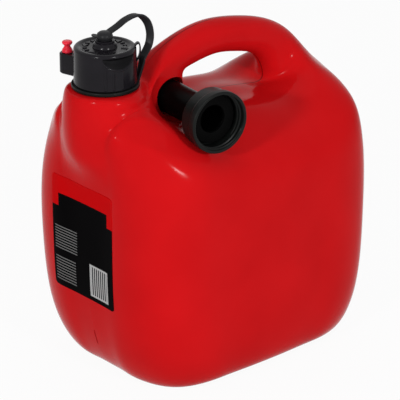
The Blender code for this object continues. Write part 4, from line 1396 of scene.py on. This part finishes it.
spout = {
    "angle": 6.5, "mouthSetback": 0.0038, "length": 0.149, "tubeWall": 0.0018, "tubeEdge": 0.0005,
    "tipRadius": 0.0096, "taperLength": 0.05, "flangeRadius": 0.0176, "flangeThickness": 0.0024,
    "sealThickness": 0.0018, "sealEdge": 0.0004,
}
nut = {
    "mouthRadius": 0.0224, "backRadius": 0.0213, "length": 0.0165, "wall": 0.0024, "backWall": 0.0025,
    "collarLength": 0.0058, "edge": 0.0009,
    "threadStart": 0.0015, "threadTurns": 2.2, "threadLead": 0.0032, "threadHeight": 0.0010,
}

spoutTurn = math.radians(spout["angle"])
mouthReach = halfDepth - spout["mouthSetback"]
mouthX = tunnelX - mouthReach * math.tan(spoutTurn)
spoutPlace = Matrix.Translation((mouthX, -mouthReach, spoutAxisHeight))
spoutPlace = spoutPlace @ Matrix.Rotation(-spoutTurn, 4, "Z") @ Matrix.Rotation(-math.pi / 2, 4, "X")
nutFloor = nut["length"] - nut["backWall"]
flangeBack = nutFloor - fit["gap"]
flangeFront = flangeBack - spout["flangeThickness"]


def buildNut():
    mouth, rear, collar, length = nut["mouthRadius"], nut["backRadius"], nut["collarLength"], nut["length"]
    bore = mouth - nut["wall"]
    hole = tunnel["tubeRadius"] + fit["gap"]
    outline = [
        (hole, length), (rear - 0.0002, length), (rear - 0.0001, collar + 0.0012), (mouth, collar),
        (mouth, 0.0), (bore, 0.0), (bore, nutFloor), (hole, nutFloor),
    ]
    body = turnedMesh("spoutNut", rounded(outline, nut["edge"]), place=spoutPlace)
    thread = threadMesh("nutThread", bore, True, nut["threadStart"], nut["threadTurns"], nut["threadLead"],
                        nut["threadHeight"], spoutPlace)
    mesh = joined("spoutNut", [body, thread])
    keepEdges(addPiece("spoutNut", mesh, grainedBlack, "nut", ["spout_nut"]), 40.0)


def buildSpoutTube():
    tip, length, radius = spout["tipRadius"], spout["length"], tunnel["tubeRadius"]
    bore = radius - spout["tubeWall"]
    taper = length - spout["taperLength"]
    outline = [
        (tip - spout["tubeWall"], length), (tip, length), (radius, taper), (radius, flangeBack),
        (spout["flangeRadius"], flangeBack), (spout["flangeRadius"], flangeFront), (bore, flangeFront),
        (bore, taper),
    ]
    tube = turnedMesh("spoutTube", rounded(outline, spout["tubeEdge"]), place=spoutPlace)
    # the tube's deeper black is painted shade
    keepEdges(addPiece("spoutTube", tube, tubeShadeBlack, "spout", ["spout_tube"]), 40.0)
    back = flangeFront - fit["gap"]
    front = back - spout["sealThickness"]
    outline = [(bore, back), (spout["flangeRadius"], back), (spout["flangeRadius"], front), (bore, front)]
    seal = turnedMesh("spoutSeal", rounded(outline, spout["sealEdge"]), place=spoutPlace)
    # the seal's deeper black is painted shade inside the nut
    keepEdges(addPiece("spoutSeal", seal, shadedSealRubber, "spout", ["spout_gasket"]), 40.0)


buildNut()
buildSpoutTube()
print("spout built")


# Studio

studio = {
    "white": (1.0, 1.0, 1.0, 1.0), "background": 1.0, "worldLight": 0.37,
    "floor": "dcdcdc", "floorGlow": 0.945, "floorGrain": 0.0167, "floorSize": 6.0,
    # name, place, size and power in watts; the two small ones beside the camera give the paired highlights
    "softboxes": (
        ("leftBox", (-1.40, -0.50, 0.75), (0.15, 0.07), 9.6),
        ("rightBox", (-0.20, -1.50, 0.75), (0.15, 0.07), 9.6),
        ("topBox", (0.20, 0.30, 1.40), (0.80, 0.80), 1.2),
    ),
    "aim": (0.0, 0.0, 0.13),
    "cameraPlace": (-1.0758, -1.2443, 0.8216), "cameraTurn": (66.59, 0.0, -40.74), "lens": 219.87,
}


def seenDirectly(tree):
    # 1 for what the camera sees, straight or by a reflection or through clear plastic, 0 for light on the can
    path = addNode(tree, "ShaderNodeLightPath")
    either = addNode(tree, "ShaderNodeMath", {"operation": "MAXIMUM"},
                     {0: path.outputs["Is Camera Ray"], 1: path.outputs["Is Glossy Ray"]})
    return addNode(tree, "ShaderNodeMath", {"operation": "MAXIMUM"},
                   {0: either.outputs[0], 1: path.outputs["Is Transmission Ray"]}).outputs[0]


def whiteFloor():
    # smooth white laminate: mostly shown as pure white, and the rest of it takes the can's shadow
    material, tree, shader = newMaterial("white laminate floor")
    place = addNode(tree, "ShaderNodeTexCoord")
    grain = addNode(tree, "ShaderNodeTexNoise", {"Scale": 1 / studio["floorGrain"], "Detail": 2.0},
                    {"Vector": place.outputs["Object"]})
    bump = addNode(tree, "ShaderNodeBump", {"Strength": 0.05, "Distance": 0.0002},
                   {"Height": grain.outputs["Fac"]})
    tree.links.new(bump.outputs["Normal"], shader.inputs["Normal"])
    shader.inputs["Base Color"].default_value = linear(studio["floor"])
    shader.inputs["Roughness"].default_value = 0.6
    glow = addNode(tree, "ShaderNodeEmission", {"Color": studio["white"], "Strength": studio["background"]})
    share = addNode(tree, "ShaderNodeMath", {"operation": "MULTIPLY", 1: studio["floorGlow"]},
                    {0: seenDirectly(tree)})
    mix = addNode(tree, "ShaderNodeMixShader",
                  links={0: share.outputs[0], 1: shader.outputs["BSDF"], 2: glow.outputs["Emission"]})
    tree.links.new(mix.outputs[0], tree.nodes["Material Output"].inputs["Surface"])
    return material


def buildStage():
    bm = bmesh.new()
    bmesh.ops.create_grid(bm, x_segments=1, y_segments=1, size=studio["floorSize"])
    mesh = meshFrom(bm, "floor")
    mesh.materials.append(whiteFloor())
    addObject("floor", mesh)


def buildWorld():
    # an even white room that the camera, glossy and clear surfaces see as white
    world = bpy.data.worlds.new("white studio")
    bpy.context.scene.world = world
    world.use_nodes = True
    tree = world.node_tree
    tree.nodes.clear()
    white = studio["white"]
    lit = addNode(tree, "ShaderNodeBackground", {"Color": white, "Strength": studio["worldLight"]})
    shown = addNode(tree, "ShaderNodeBackground", {"Color": white, "Strength": studio["background"]})
    mix = addNode(tree, "ShaderNodeMixShader",
                  links={0: seenDirectly(tree), 1: lit.outputs[0], 2: shown.outputs[0]})
    addNode(tree, "ShaderNodeOutputWorld", links={"Surface": mix.outputs[0]})


def buildSoftboxes():
    for name, place, size, power in studio["softboxes"]:
        lamp = bpy.data.lights.new(name, "AREA")
        lamp.shape = "RECTANGLE"
        lamp.size, lamp.size_y = size
        lamp.energy = power
        box = addObject(name, lamp)
        box.location = place
        box.rotation_euler = (Vector(place) - Vector(studio["aim"])).to_track_quat("Z", "Y").to_euler()


def buildCamera():
    data = bpy.data.cameras.new("camera")
    data.sensor_width = 36.0
    data.lens = studio["lens"]
    data.clip_end = 50.0
    camera = addObject("camera", data)
    camera.location = studio["cameraPlace"]
    camera.rotation_euler = [math.radians(angle) for angle in studio["cameraTurn"]]
    bpy.context.scene.camera = camera


buildStage()
buildWorld()
buildSoftboxes()
buildCamera()
bpy.context.scene.view_settings.view_transform = "Standard"
print("studio built")
